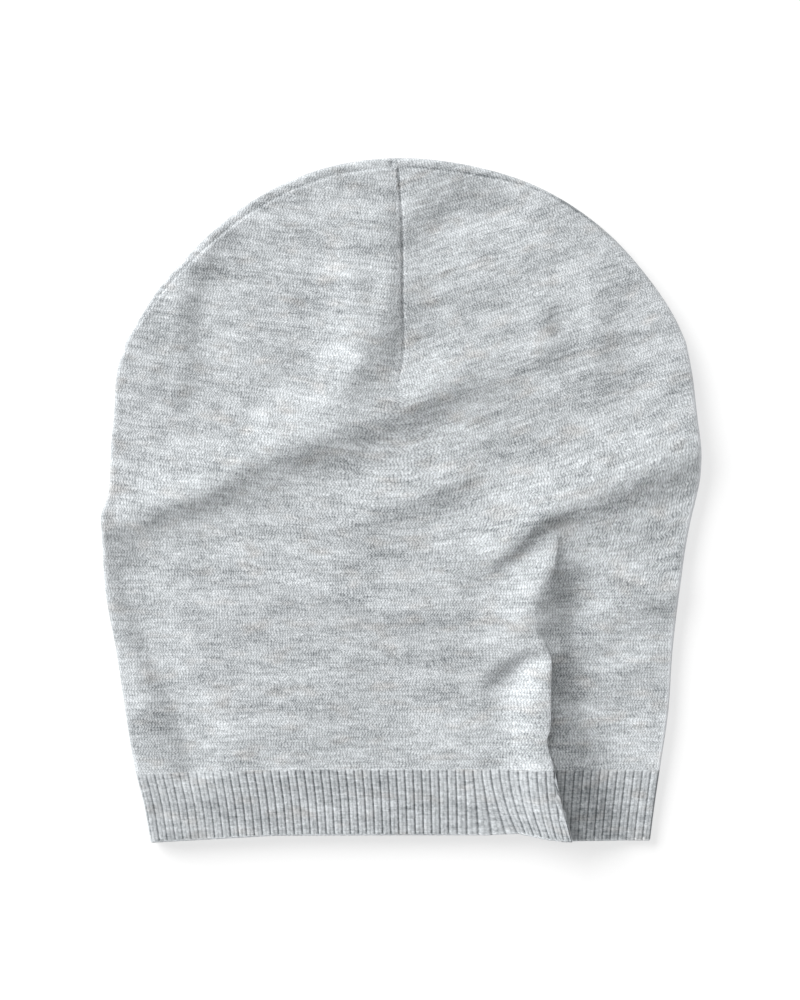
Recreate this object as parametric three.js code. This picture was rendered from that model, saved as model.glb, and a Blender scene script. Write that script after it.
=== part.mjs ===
// A fine-gauge knit beanie lying flat: a hollow jersey crown closed by a seam round the dome,
// a rib hem knitted two by one, and the seam allowances inside. Millimetres, +Z up.
// X runs across the front, +Y to the top of the crown, and the mouth opens towards -Y.
// The back layer lies flat at Z = 0 and the front layer carries the folds.

import * as THREE from 'three';

// Walls, gaps and the rounded edge where the front layer turns into the back one
const JERSEY = 1.2;
const RIB_BASE = 1.4;
const RIB_RISE = 0.6;
const GAP = 0.3;
const EDGE_HEIGHT = 2.6;
const EDGE_ROUND = 5;

// Loft of the front layer above the surface that the beanie lies on, a little more in the middle
const LOFT = 9.4;
const LOFT_MIDDLE = 1.4;
const LOFT_ACROSS = 85;
const LOFT_UPWARDS = 95;
const LOFT_CENTRE_Y = 10;

// Rib hem
const RIBS = 122;
const GROOVE_SHARE = 0.3;
const HEM_WIDTH = 213;
const HEM_STEPS = 90;

// Grid of the crown
const COLUMNS = 36;
const ROWS = 30;
const CROWN_WIDTH = 235;
const SIDE_LENGTH = 190;
const EDGE_INSETS = [0, 0.7, 2.2, 5];
const EDGE_TURNS = [Math.PI / 4, Math.PI / 2];

// Fineness of the lines that heights are measured from
const SIDE_SAMPLES = 70;
const DOME_SAMPLES = 90;
const FOLD_SAMPLES = 16;
const HALVINGS = 30;

// Seam allowances inside, clear of the jersey above them; the dome seam stops short of both shoulders
const SEAM_WIDTH = 4;
const SEAM_THICK = 1.6;
const SEAM_CLEARANCE = 0.45;
const SEAM_INSET = 6;
const SEAM_STEPS = 40;
const SEAM_END_STEPS = 2;
const DART_WIDTH = 1.6;
const DART_DEPTH = 2;
const DART_STEPS = 12;
const DART_BOTTOM = 50;
const DART_TOP = 130;
const FRONT_DART_X = 0;
const BACK_DART_X = -4;

// Edges seen from above, from the hem to the shoulders where the dome seam starts
const SIDES = [
  { y: -145, left: -106.4, right: 105.6 },
  { y: -130, left: -109.0, right: 107.5 },
  { y: -114, left: -113.0, right: 109.8 },
  { y: -89, left: -117.2, right: 113.4 },
  { y: -64, left: -121.0, right: 115.1 },
  { y: -38, left: -125.7, right: 118.1 },
  { y: -14, left: -127.0, right: 121.7 },
  { y: -6, left: -127.2, right: 123.4 },
  { y: 0, left: -124.9, right: 124.9 },
  { y: 8, left: -123.7, right: 126.6 },
  { y: 20, left: -123.4, right: 127.2 },
  { y: 34, left: -122.1, right: 125.6 },
  { y: 56, left: -120.2, right: 122.9 },
  { y: 67, left: -116.8, right: 120.6 },
];

// Dome from the left shoulder over the top to the right shoulder
const DOME = [
  { x: -116.8, y: 67 },
  { x: -103.2, y: 89 },
  { x: -86.3, y: 108 },
  { x: -63, y: 127 },
  { x: -32.4, y: 140.8 },
  { x: -4, y: 145 },
  { x: 25.7, y: 142.5 },
  { x: 59, y: 132.3 },
  { x: 86, y: 114.5 },
  { x: 103.7, y: 95.4 },
  { x: 116.4, y: 76.3 },
  { x: 120.6, y: 67 },
];

// Lower edge of the hem from left to right
const HEM = [
  { share: 0, y: -145.2 },
  { share: 0.2, y: -142.2 },
  { share: 0.5, y: -142 },
  { share: 0.7, y: -141.6 },
  { share: 0.8, y: -143.8 },
  { share: 1, y: -144.6 },
];

// Line where the ribs meet the jersey, and how far it droops at the two side edges
const RIB_LINE = -113.8;
const LEFT_DROOP = 2.6;
const RIGHT_DROOP = 0.8;
const DROOP_POWER = 6;

// Folds of the front layer. A fold runs through its points, always to the right or up, with its
// crest `height` above the loft. `upper` is its width on the left hand, `lower` on the right hand,
// and `start` and `end` are the shares of its length over which it fades in and out.
const FOLDS = [
  { name: 'waist fold, left part', upper: 10.4, lower: 8.1, height: 3.7, start: 0, end: 0.35,
    along: [[-129, -10], [-101, -2], [-68.4, 12.7], [-58, 21]] },
  { name: 'waist fold, long part', upper: 13.8, lower: 9.7, height: 4.7, start: 0.2, end: 0.35,
    along: [[-79.3, 22.3], [-47.4, 23.6], [-25.2, 30], [-0.7, 39.1], [23, 49.7], [60.8, 54.7]] },
  { name: 'right fold', upper: 13.4, lower: 8.8, height: 3.8, start: 0.35, end: 0,
    along: [[9.7, -33.5], [47.9, -13.3], [84.7, 4.6], [127.9, 23.3]] },
  { name: 'soft fold under the long one', upper: 12.1, lower: 7.2, height: 1.8, start: 0.3, end: 0.3,
    along: [[-35.2, -12.1], [13.5, 5], [41.7, 21.4]] },
  { name: 'low crease', upper: 5, lower: 9.5, height: 2.4, start: 0.3, end: 0.3,
    along: [[-83.5, -17.4], [-31.3, -41.2], [28.1, -56.9]] },
  { name: 'left side hollow', upper: 6.6, lower: 12.3, height: -1.2, start: 0.1, end: 0.15,
    along: [[-84.9, -123.4], [-104.5, -65], [-121.4, -18.5]] },
  { name: 'pleat', upper: 17, lower: 5, height: 8.5, start: 0, end: 0.36,
    along: [[70, -146], [63, -123], [61, -102], [62.8, -85], [62, -64], [60, -50], [64, -19]] },
  { name: 'hollow beside the pleat', upper: 7, lower: 12, height: -1, start: 0, end: 0.4,
    along: [[84, -146], [76, -85], [72, -25]] },
  { name: 'upper left hollow', upper: 6.4, lower: 16, height: -1.2, start: 0.2, end: 0.2,
    along: [[-92.2, 29.7], [-83.1, 85], [-58.5, 118.8]] },
  { name: 'left slant', upper: 7.1, lower: 5, height: -0.5, start: 0.3, end: 0.3,
    along: [[-74.1, 22.6], [-36.5, 64]] },
  { name: 'upright ridge', upper: 11.4, lower: 7.5, height: 4.3, start: 0.3, end: 0.3,
    along: [[-33.6, 33.3], [-19.1, 84.8], [-28.4, 112.5]] },
  { name: 'ridge into the dart', upper: 8.5, lower: 11.1, height: 4.1, start: 0.3, end: 0.3,
    along: [[-24, 38.2], [-7, 76.8], [-4.8, 105.9]] },
  { name: 'dart pull', upper: 5, lower: 4, height: -0.8, start: 0.1, end: 0.02,
    along: [[-1.5, 47.5], [0.6, 84.8], [-1.5, 140.8]] },
  { name: 'top right hollow', upper: 11.3, lower: 13.6, height: -1.2, start: 0.3, end: 0.3,
    along: [[0.7, 94.2], [23, 121.6], [62, 119.4]] },
  { name: 'first upright pull', upper: 8.9, lower: 5, height: 1.4, start: 0.3, end: 0.3,
    along: [[65.1, 55.1], [59.6, 72.1], [64, 89.9]] },
  { name: 'second upright pull', upper: 5.4, lower: 7.7, height: 1.3, start: 0.3, end: 0.3,
    along: [[82.5, 46.6], [80.5, 100.8]] },
  { name: 'lower middle swell', upper: 16, lower: 9.2, height: 1.2, start: 0.3, end: 0.3,
    along: [[-51.5, -97.5], [-29.9, -81.1], [-9.3, -71.8]] },
];

const smooth = (v) => THREE.MathUtils.smoothstep(v, 0, 1);

// A smooth curve through points given as [x, y]
function curveThrough(points) {
  const knots = points.map(([x, y]) => new THREE.Vector3(x, y, 0));
  return new THREE.CatmullRomCurve3(knots, false, 'centripetal');
}

// Value of a table at one place, with straight lines between its rows
function tableValue(rows, key, value, place) {
  const after = Math.max(1, rows.findIndex((row) => row[key] >= place));
  const low = rows[after - 1];
  const high = rows[after];
  return THREE.MathUtils.mapLinear(place, low[key], high[key], low[value], high[value]);
}

// Nearest place on a line of points: distance, side (left hand positive) and share of its length
function nearest(line, x, y) {
  const best = { distance: Infinity, side: 1, share: 0 };
  for (let i = 0; i + 1 < line.length; i++) {
    const dx = line[i + 1].x - line[i].x;
    const dy = line[i + 1].y - line[i].y;
    const reach = ((x - line[i].x) * dx + (y - line[i].y) * dy) / (dx * dx + dy * dy);
    const t = THREE.MathUtils.clamp(reach, 0, 1);
    const offX = x - line[i].x - t * dx;
    const offY = y - line[i].y - t * dy;
    const distance = Math.hypot(offX, offY);
    if (distance < best.distance) {
      best.distance = distance;
      best.side = Math.sign(dx * offY - dy * offX) || 1;
      best.share = (i + t) / (line.length - 1);
    }
  }
  return best;
}

const leftSide = curveThrough(SIDES.map((row) => [row.left, row.y]));
const rightSide = curveThrough(SIDES.map((row) => [row.right, row.y]));
const dome = curveThrough(DOME.map((row) => [row.x, row.y]));
const outline = [
  ...leftSide.getSpacedPoints(SIDE_SAMPLES),
  ...dome.getSpacedPoints(DOME_SAMPLES).slice(1),
  ...rightSide.getSpacedPoints(SIDE_SAMPLES).reverse().slice(1),
];
const foldLines = FOLDS.map((fold) => curveThrough(fold.along).getSpacedPoints(FOLD_SAMPLES));

// Height of the front layer: the loft and its folds, rounded down to the edge
function frontHeight(x, y) {
  const fromCentre = (x / LOFT_ACROSS) ** 2 + ((y - LOFT_CENTRE_Y) / LOFT_UPWARDS) ** 2;
  let height = LOFT + LOFT_MIDDLE * Math.exp(-fromCentre);
  FOLDS.forEach((fold, i) => {
    const place = nearest(foldLines[i], x, y);
    const width = place.side > 0 ? fold.upper : fold.lower;
    const fadeIn = fold.start ? smooth(place.share / fold.start) : 1;
    const fadeOut = fold.end ? smooth((1 - place.share) / fold.end) : 1;
    height += fold.height * fadeIn * fadeOut * Math.exp(-((place.distance / width) ** 2));
  });
  const inset = Math.min(nearest(outline, x, y).distance / EDGE_ROUND, 1);
  const round = Math.sqrt(Math.max(0, 1 - (1 - inset) ** 2));
  return EDGE_HEIGHT + (height - EDGE_HEIGHT) * round;
}

// Where a height is reached on a side edge
function sideAt(curve, y) {
  let low = 0;
  let high = 1;
  for (let i = 0; i < HALVINGS; i++) {
    const middle = (low + high) / 2;
    if (curve.getPointAt(middle).y < y) low = middle;
    else high = middle;
  }
  return low;
}

const hemLine = (share) => tableValue(HEM, 'share', 'y', share);

// Height of the line where the ribs meet the jersey on the front
function ribLine(share) {
  return RIB_LINE - LEFT_DROOP * (1 - share) ** DROOP_POWER - RIGHT_DROOP * share ** DROOP_POWER;
}

// The same line on the back, straight from edge to edge
const straightRibLine = (share) => THREE.MathUtils.lerp(ribLine(0), ribLine(1), share);

// A line across a layer from edge to edge, at the heights of one of the lines above
function lineAcross(line, lift) {
  const first = leftSide.getPointAt(sideAt(leftSide, line(0) + lift));
  const last = rightSide.getPointAt(sideAt(rightSide, line(1) + lift));
  return (share) => {
    const x = THREE.MathUtils.lerp(first.x, last.x, share);
    return new THREE.Vector3(x, line(share) + lift, 0);
  };
}

// Steps from 0 to 1: close together within the rounded edge and even between
function edgedSteps(count, length, atStart, atEnd) {
  const near = EDGE_INSETS.map((inset) => inset / length);
  const first = atStart ? near : [0];
  const last = atEnd ? near.map((step) => 1 - step).reverse() : [1];
  const from = first[first.length - 1];
  const to = last[0];
  const even = (_, i) => from + ((to - from) * (i + 1)) / count;
  const middle = Array.from({ length: count - 1 }, even);
  return [...first, ...middle, ...last];
}

// Body between an outer skin and the same skin moved inwards, joined round its open hem
function shellBody(outer, normals, triangles, hemLoop, wall) {
  const count = outer.length;
  const inner = outer.map((point, i) => point.clone().addScaledVector(normals[i], -wall));
  const index = [...triangles, ...triangles.map(([a, b, c]) => [a + count, c + count, b + count])];
  hemLoop.forEach((here, i) => {
    const next = hemLoop[(i + 1) % hemLoop.length];
    index.push([here, next + count, next]);
    index.push([here, here + count, next + count]);
  });
  return bodyFrom([...outer, ...inner], index);
}

// Geometry of a body from its points and its triangles of point numbers
function bodyFrom(points, triangles) {
  const places = points.flatMap((point) => point.toArray());
  const geometry = new THREE.BufferGeometry();
  geometry.setAttribute('position', new THREE.Float32BufferAttribute(places, 3));
  geometry.setIndex(triangles.flat());
  geometry.computeVertexNormals();
  return geometry;
}

// Jersey crown: front grid, rounded edge below it and the flat back layer
function makeCrown() {
  const bottomLift = GAP / 2;
  const leftStart = sideAt(leftSide, ribLine(0) + bottomLift);
  const rightStart = sideAt(rightSide, ribLine(1) + bottomLift);
  const across = edgedSteps(COLUMNS, CROWN_WIDTH, true, true);
  const upwards = edgedSteps(ROWS, SIDE_LENGTH, false, true);
  const last = across.length - 1;
  const top = upwards.length - 1;
  const bottom = lineAcross(ribLine, bottomLift);
  const left = (v) => leftSide.getPointAt(leftStart + (1 - leftStart) * v);
  const right = (v) => rightSide.getPointAt(rightStart + (1 - rightStart) * v);

  // Front grid, blended between its four edge curves
  const points = [];
  const at = (column, row) => row * (last + 1) + column;
  for (const v of upwards) {
    for (const u of across) {
      const point = bottom(u).multiplyScalar(1 - v);
      point.addScaledVector(dome.getPointAt(u), v);
      point.addScaledVector(left(v), 1 - u).addScaledVector(right(v), u);
      point.addScaledVector(bottom(0), -(1 - u) * (1 - v)).addScaledVector(bottom(1), -u * (1 - v));
      point.addScaledVector(dome.getPointAt(0), -(1 - u) * v).addScaledVector(dome.getPointAt(1), -u * v);
      const onEdge = u === 0 || u === 1 || v === 1;
      point.z = onEdge ? EDGE_HEIGHT : frontHeight(point.x, point.y);
      points.push(point);
    }
  }
  const triangles = [];
  for (let row = 0; row < top; row++) {
    for (let column = 0; column < last; column++) {
      triangles.push([at(column, row), at(column + 1, row), at(column + 1, row + 1)]);
      triangles.push([at(column, row), at(column + 1, row + 1), at(column, row + 1)]);
    }
  }

  // Path along the edge: up the left side, over the dome and down the right side
  const edge = [];
  for (let row = 0; row < top; row++) edge.push(at(0, row));
  for (let column = 0; column <= last; column++) edge.push(at(column, top));
  for (let row = top - 1; row >= 0; row--) edge.push(at(last, row));

  // Two rings turn the edge under, to the flat back layer
  const rings = [edge];
  for (const angle of EDGE_TURNS) {
    const ring = edge.map((id, i) => {
      const before = points[edge[Math.max(i - 1, 0)]];
      const after = points[edge[Math.min(i + 1, edge.length - 1)]];
      const inward = new THREE.Vector3(after.y - before.y, before.x - after.x, 0).normalize();
      if (i === 0 || i === edge.length - 1) inward.set(Math.sign(inward.x), 0, 0);
      const point = points[id].clone().addScaledVector(inward, EDGE_HEIGHT * (1 - Math.cos(angle)));
      point.z = EDGE_HEIGHT * (1 - Math.sin(angle));
      points.push(point);
      return points.length - 1;
    });
    const previous = rings[rings.length - 1];
    for (let i = 0; i + 1 < edge.length; i++) {
      triangles.push([previous[i], ring[i + 1], ring[i]]);
      triangles.push([previous[i], previous[i + 1], ring[i + 1]]);
    }
    rings.push(ring);
  }
  const flatRing = rings[rings.length - 1];
  const contour = flatRing.map((id) => new THREE.Vector2(points[id].x, points[id].y));
  for (const [a, b, c] of THREE.ShapeUtils.triangulateShape(contour, [])) {
    const turn = (contour[b].x - contour[a].x) * (contour[c].y - contour[a].y)
      - (contour[b].y - contour[a].y) * (contour[c].x - contour[a].x);
    const facesDown = turn < 0 ? [a, b, c] : [a, c, b];
    triangles.push(facesDown.map((i) => flatRing[i]));
  }

  // Directions out of the skin; level at the hem and straight down on the back
  const skin = bodyFrom(points, triangles).getAttribute('normal');
  const normals = points.map((_, i) => new THREE.Vector3().fromBufferAttribute(skin, i));
  const hemLoop = across.map((_, column) => at(column, 0));
  hemLoop.push(rings[1][edge.length - 1], flatRing[edge.length - 1], flatRing[0], rings[1][0]);
  hemLoop.forEach((id) => normals[id].setY(0).normalize());
  flatRing.forEach((id) => normals[id].set(0, 0, -1));
  return shellBody(points, normals, triangles, hemLoop, JERSEY);
}

// Round the flattened hem at one share of its height: front left to right, then back right to left
function hemSection(rise) {
  const shares = edgedSteps(HEM_STEPS, HEM_WIDTH, true, true);
  const low = lineAcross(hemLine, 0);
  const frontTop = lineAcross(ribLine, -GAP / 2);
  const backTop = lineAcross(straightRibLine, -GAP / 2);
  const front = shares.map((share) => {
    const point = low(share).lerp(frontTop(share), rise);
    point.z = share === 0 || share === 1 ? EDGE_HEIGHT : frontHeight(point.x, point.y);
    return point;
  });
  const back = [];
  for (const share of shares.slice(1, -1).reverse()) {
    const point = low(share).lerp(backTop(share), rise);
    const inset = Math.min(share, 1 - share) * HEM_WIDTH;
    const reach = Math.min(inset / EDGE_HEIGHT, 1);
    point.z = EDGE_HEIGHT * (1 - Math.sqrt(1 - (1 - reach) ** 2));
    back.push(point);
  }
  return [...front, ...back];
}

// Evenly spaced places round a closed section, each with its direction outwards
function roundSection(section, count) {
  const closed = [...section, section[0]];
  const lengths = [0];
  for (let i = 1; i < closed.length; i++) {
    lengths.push(lengths[i - 1] + Math.hypot(closed[i].x - closed[i - 1].x, closed[i].z - closed[i - 1].z));
  }
  const total = lengths[lengths.length - 1];
  const place = (share) => {
    const wanted = THREE.MathUtils.euclideanModulo(share, 1) * total;
    const after = Math.max(1, lengths.findIndex((length) => length > wanted));
    const t = (wanted - lengths[after - 1]) / (lengths[after] - lengths[after - 1]);
    return closed[after - 1].clone().lerp(closed[after], t);
  };
  return Array.from({ length: count }, (_, i) => {
    const ahead = place((i + 0.5) / count).sub(place((i - 0.5) / count));
    return { point: place(i / count), outward: new THREE.Vector3(-ahead.z, 0, ahead.x).normalize() };
  });
}

// Rib hem: a closed band whose outside carries broad ribs with narrow grooves between
function makeRibBand() {
  const profile = [
    { share: 0, sunk: RIB_RISE },
    { share: GROOVE_SHARE, sunk: 0 },
    { share: 1 - GROOVE_SHARE, sunk: 0 },
  ];
  const rows = [
    { rise: 0, tuck: 0.5 },
    { rise: 0.03, tuck: 0 },
    { rise: 0.5, tuck: 0 },
    { rise: 1, tuck: 0 },
  ];
  const steps = profile.length;
  const points = [];
  const triangles = [];
  const loopLength = RIBS * steps;
  for (const row of rows) {
    const places = roundSection(hemSection(row.rise), loopLength);
    places.forEach(({ point, outward }, i) => {
      const sunk = profile[i % steps].sunk + row.tuck;
      points.push(point.clone().addScaledVector(outward, -Math.min(sunk, RIB_RISE)));
    });
  }
  const innerStart = points.length;
  const innerRows = [0, 0.5, 1];
  for (const rise of innerRows) {
    for (const { point, outward } of roundSection(hemSection(rise), RIBS)) {
      points.push(point.clone().addScaledVector(outward, -(RIB_RISE + RIB_BASE)));
    }
  }
  const outer = (row, i) => row * loopLength + (i % loopLength);
  const inner = (row, i) => innerStart + row * RIBS + (i % RIBS);
  for (let row = 0; row + 1 < rows.length; row++) {
    for (let i = 0; i < loopLength; i++) {
      triangles.push([outer(row, i), outer(row, i + 1), outer(row + 1, i + 1)]);
      triangles.push([outer(row, i), outer(row + 1, i + 1), outer(row + 1, i)]);
    }
  }
  for (let row = 0; row + 1 < innerRows.length; row++) {
    for (let i = 0; i < RIBS; i++) {
      triangles.push([inner(row, i), inner(row + 1, i + 1), inner(row, i + 1)]);
      triangles.push([inner(row, i), inner(row + 1, i), inner(row + 1, i + 1)]);
    }
  }
  // Lower and upper rims, a fan of one rib at a time
  const topOuter = rows.length - 1;
  const topInner = innerRows.length - 1;
  for (let rib = 0; rib < RIBS; rib++) {
    const first = rib * steps;
    for (let here = first; here < first + steps; here++) {
      triangles.push([outer(0, here), inner(0, rib), outer(0, here + 1)]);
      triangles.push([outer(topOuter, here), outer(topOuter, here + 1), inner(topInner, rib)]);
    }
    triangles.push([inner(0, rib), inner(0, rib + 1), outer(0, first + steps)]);
    triangles.push([inner(topInner, rib), outer(topOuter, first + steps), inner(topInner, rib + 1)]);
  }
  return bodyFrom(points, triangles);
}

// Closed strip with a four-sided section at each place along it
function stripBody(sections) {
  const points = sections.flat();
  const triangles = [];
  for (let i = 0; i + 1 < sections.length; i++) {
    for (let side = 0; side < 4; side++) {
      const here = i * 4 + side;
      const next = i * 4 + ((side + 1) % 4);
      triangles.push([here, next + 4, here + 4]);
      triangles.push([here, next, next + 4]);
    }
  }
  const end = (sections.length - 1) * 4;
  triangles.push([0, 2, 1], [0, 3, 2]);
  triangles.push([end, end + 1, end + 2], [end, end + 2, end + 3]);
  return bodyFrom(points, triangles);
}

// Height just under the front layer, clear of the jersey
const underFront = (x, y) => frontHeight(x, y) - JERSEY - SEAM_CLEARANCE;

// Seam allowance that follows the dome inside, under the front layer
function makeDomeSeam() {
  const sections = [];
  for (let i = SEAM_END_STEPS; i <= SEAM_STEPS - SEAM_END_STEPS; i++) {
    const middle = dome.getPointAt(i / SEAM_STEPS);
    const along = dome.getTangentAt(i / SEAM_STEPS);
    const inward = new THREE.Vector3(along.y, -along.x, 0);
    const outerSide = middle.clone().addScaledVector(inward, SEAM_INSET);
    const innerSide = middle.clone().addScaledVector(inward, SEAM_INSET + SEAM_WIDTH);
    const outerTop = underFront(outerSide.x, outerSide.y);
    const innerTop = underFront(innerSide.x, innerSide.y);
    sections.push([
      outerSide.clone().setZ(outerTop),
      innerSide.clone().setZ(innerTop),
      innerSide.clone().setZ(innerTop - SEAM_THICK),
      outerSide.clone().setZ(outerTop - SEAM_THICK),
    ]);
  }
  return stripBody(sections);
}

// Dart allowance: an upright strip down the middle of one layer
function makeDart(x, topHeight) {
  const left = x - DART_WIDTH / 2;
  const right = x + DART_WIDTH / 2;
  const sections = [];
  for (let i = 0; i <= DART_STEPS; i++) {
    const y = THREE.MathUtils.lerp(DART_BOTTOM, DART_TOP, i / DART_STEPS);
    const high = topHeight(x, y);
    sections.push([
      new THREE.Vector3(left, y, high),
      new THREE.Vector3(right, y, high),
      new THREE.Vector3(right, y, high - DART_DEPTH),
      new THREE.Vector3(left, y, high - DART_DEPTH),
    ]);
  }
  return stripBody(sections);
}

const jersey = new THREE.MeshStandardMaterial({ color: '#c0c4c7', roughness: 0.95, metalness: 0 });
const ribKnit = new THREE.MeshStandardMaterial({ color: '#b2b6b9', roughness: 0.95, metalness: 0 });
const seamKnit = new THREE.MeshStandardMaterial({ color: '#b7bbbe', roughness: 0.95, metalness: 0 });

function named(name, geometry, material) {
  const mesh = new THREE.Mesh(geometry, material);
  mesh.name = name;
  return mesh;
}

const beanie = new THREE.Group();
beanie.add(
  named('crown', makeCrown(), jersey),
  named('rib_band', makeRibBand(), ribKnit),
  named('dome_seam', makeDomeSeam(), seamKnit),
  named('front_dart_seam', makeDart(FRONT_DART_X, underFront), seamKnit),
  named('back_dart_seam', makeDart(BACK_DART_X, () => JERSEY + GAP + DART_DEPTH), seamKnit),
);

// The origin is the middle of the footprint, on the surface that the beanie lies on
const middle = new THREE.Box3().setFromObject(beanie).getCenter(new THREE.Vector3());
beanie.position.set(-middle.x, -middle.y, 0);

export default beanie;
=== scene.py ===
"""A fine-gauge heather beanie lying flat: jersey crown, rib hem and sewn seams, on a pale floor."""

import math
from collections import namedtuple

import bpy
import numpy as np
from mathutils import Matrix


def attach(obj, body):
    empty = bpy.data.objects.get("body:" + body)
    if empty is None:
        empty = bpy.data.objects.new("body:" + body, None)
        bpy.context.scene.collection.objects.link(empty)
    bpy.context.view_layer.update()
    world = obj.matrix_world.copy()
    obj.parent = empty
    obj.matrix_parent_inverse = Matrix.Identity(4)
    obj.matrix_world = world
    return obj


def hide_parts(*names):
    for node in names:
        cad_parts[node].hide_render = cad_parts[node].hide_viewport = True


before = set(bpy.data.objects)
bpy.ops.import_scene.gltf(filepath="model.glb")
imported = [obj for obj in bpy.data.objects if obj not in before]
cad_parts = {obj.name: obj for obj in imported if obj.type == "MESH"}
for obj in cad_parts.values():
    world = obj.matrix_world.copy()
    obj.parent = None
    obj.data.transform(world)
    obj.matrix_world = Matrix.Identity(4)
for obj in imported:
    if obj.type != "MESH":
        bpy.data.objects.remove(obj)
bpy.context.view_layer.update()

bl_info = {
    "name": "Flat-laid knit beanie",
    "version": (1, 0, 0),
    "blender": (4, 5, 0),
    "location": "View3D > Sidebar > Beanie",
    "description": "Builds a heather jersey beanie lying flat, with its folds, seams and rib hem",
    "category": "Add Mesh",
}

MM = 0.001

# An eased change from 0 to 1: where it starts, and the distance it takes, negative where it runs down
Span = namedtuple("Span", "start over")

# Cloth, in millimetres: the jersey, the hem between its ribs, and how far a rib stands up
JERSEY = 1.2
RIB_BASE = 1.4
RIB_RISE = 0.6
# Height at which the edge turns under, and over what distance and how squarely the face rounds down to it
EDGE_HEIGHT = 3.4
EDGE_ROUND = 3.6
EDGE_POWER = 4.5
# Height of the face inside the edge, and its rise in the middle, with that rise's place, width and length
LOFT = 9.4
LOFT_RISE = 1.4
LOFT_RISE_Y = 10.0
LOFT_RISE_WIDTH = 85.0
LOFT_RISE_LENGTH = 95.0
# How much lower the crown lies at its two sides, how far in from them, and between which heights
EDGE_DROP = 1.5
EDGE_DROP_WIDTH = 20.0
EDGE_DROP_LOW = Span(-112, 40)
EDGE_DROP_HIGH = Span(58, -50)

# Knit, in millimetres: across one column of stitches, up one row, and across one rib of the hem
WALE = 1.2
COURSE = 1.05
RIB_WIDTH = 3.26
RIBS = 130
# Rise of a stitch's leg from the middle of its column, in rows per column's width
LEG_RISE = 1.3
# How much lower the yarn lies between two columns and between two rows, as shares of its height
COLUMN_GAP = 0.9
ROW_GAP = 0.45
# How far the rows wander up and down, and how far each slips along itself against the next ones
WANDER = 1.6
SLIP = 3.6
RIB_SLIP = 0.6
# How much of the stitches' height the loose fibres add
FIBRE_RELIEF = 1.2

# Tone of the yarn: its middle value, and how much each kind of unevenness adds, among them painted shade
# where the yarn lies low between stitches; bump in millimetres
Heather = namedtuple("Heather", "middle streaks specks patches legs gaps fibres bump")
JERSEY_YARN = Heather(0.43, 0.68, 0.40, 0.72, 0.25, 0.52, 0.32, 0.12)
RIB_YARN = Heather(0.41, 0.55, 0.50, 0.40, 0.22, 0.25, 0.35, 0.10)

# Kinds of unevenness: length along the rows and height up them, in millimetres. Real fibres are far finer
# than FIBRES, which are drawn as fine as the picture shows.
Noise = namedtuple("Noise", "length height detail seed")
STREAKS = Noise(8.0, 1.4, 2.0, 1.0)
SPECKS = Noise(2.4, 0.7, 2.0, 7.0)
PATCHES = Noise(30.0, 9.0, 2.0, 13.0)
FIBRES = Noise(0.45, 0.45, 1.0, 3.0)
WARM_PLACES = Noise(14.0, 7.0, 1.0, 31.0)
SLIPPING = Noise(7.0, 1.6, 1.0, 41.0)
WANDERING = Noise(3.0, 3.0, 1.0, 43.0)
NOISE_ROUGHNESS = 0.6
# Noise above which warm fibres show, and how sharply
WARM_FROM = 0.05
WARM_SHARPNESS = 5.0

# Edges seen from above, from the hem up to the shoulders where the dome seam starts
Side = namedtuple("Side", "y left right")
SIDES = [
    Side(-145, -106.4, 105.6),
    Side(-130, -109.0, 107.5),
    Side(-114, -113.0, 109.8),
    Side(-89, -117.2, 113.4),
    Side(-64, -121.0, 115.1),
    Side(-38, -125.7, 118.1),
    Side(-14, -127.0, 121.7),
    Side(-6, -127.2, 123.4),
    Side(0, -124.9, 124.9),
    Side(8, -123.7, 126.6),
    Side(20, -123.4, 127.2),
    Side(34, -122.1, 125.6),
    Side(56, -120.2, 122.9),
    Side(67, -116.8, 120.6),
]

# Dome from the left shoulder over the top to the right shoulder, x and y
DOME = [
    (-116.8, 67), (-103.2, 89), (-86.3, 108), (-63, 127), (-32.4, 140.8), (-4, 145),
    (25.7, 142.5), (59, 132.3), (86, 114.5), (103.7, 95.4), (116.4, 76.3), (120.6, 67),
]

# Lower edge of the hem, front and back: share of the way from left to right, and y
HEM = [
    (0, -145.2), (0.1, -144.0), (0.25, -142.2), (0.5, -142.0), (0.66, -142.0), (0.715, -141.2),
    (0.74, -142.4), (0.765, -143.6), (0.8, -144.2), (1, -144.6),
]
BACK_HEM = [
    (0, -145.2), (0.1, -144.0), (0.25, -142.0), (0.5, -141.4), (0.75, -141.0), (0.9, -142.0),
    (1, -144.6),
]
HEM_TALL = 30.0

# Line where the ribs meet the jersey, how far it droops at the two side edges and how narrowly, and the
# share of the crown's height over which its rows straighten above it
RIB_LINE = -113.8
LEFT_DROOP = 2.6
RIGHT_DROOP = 0.8
DROOP_POWER = 6
DROOP_EASE = 0.12

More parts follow.
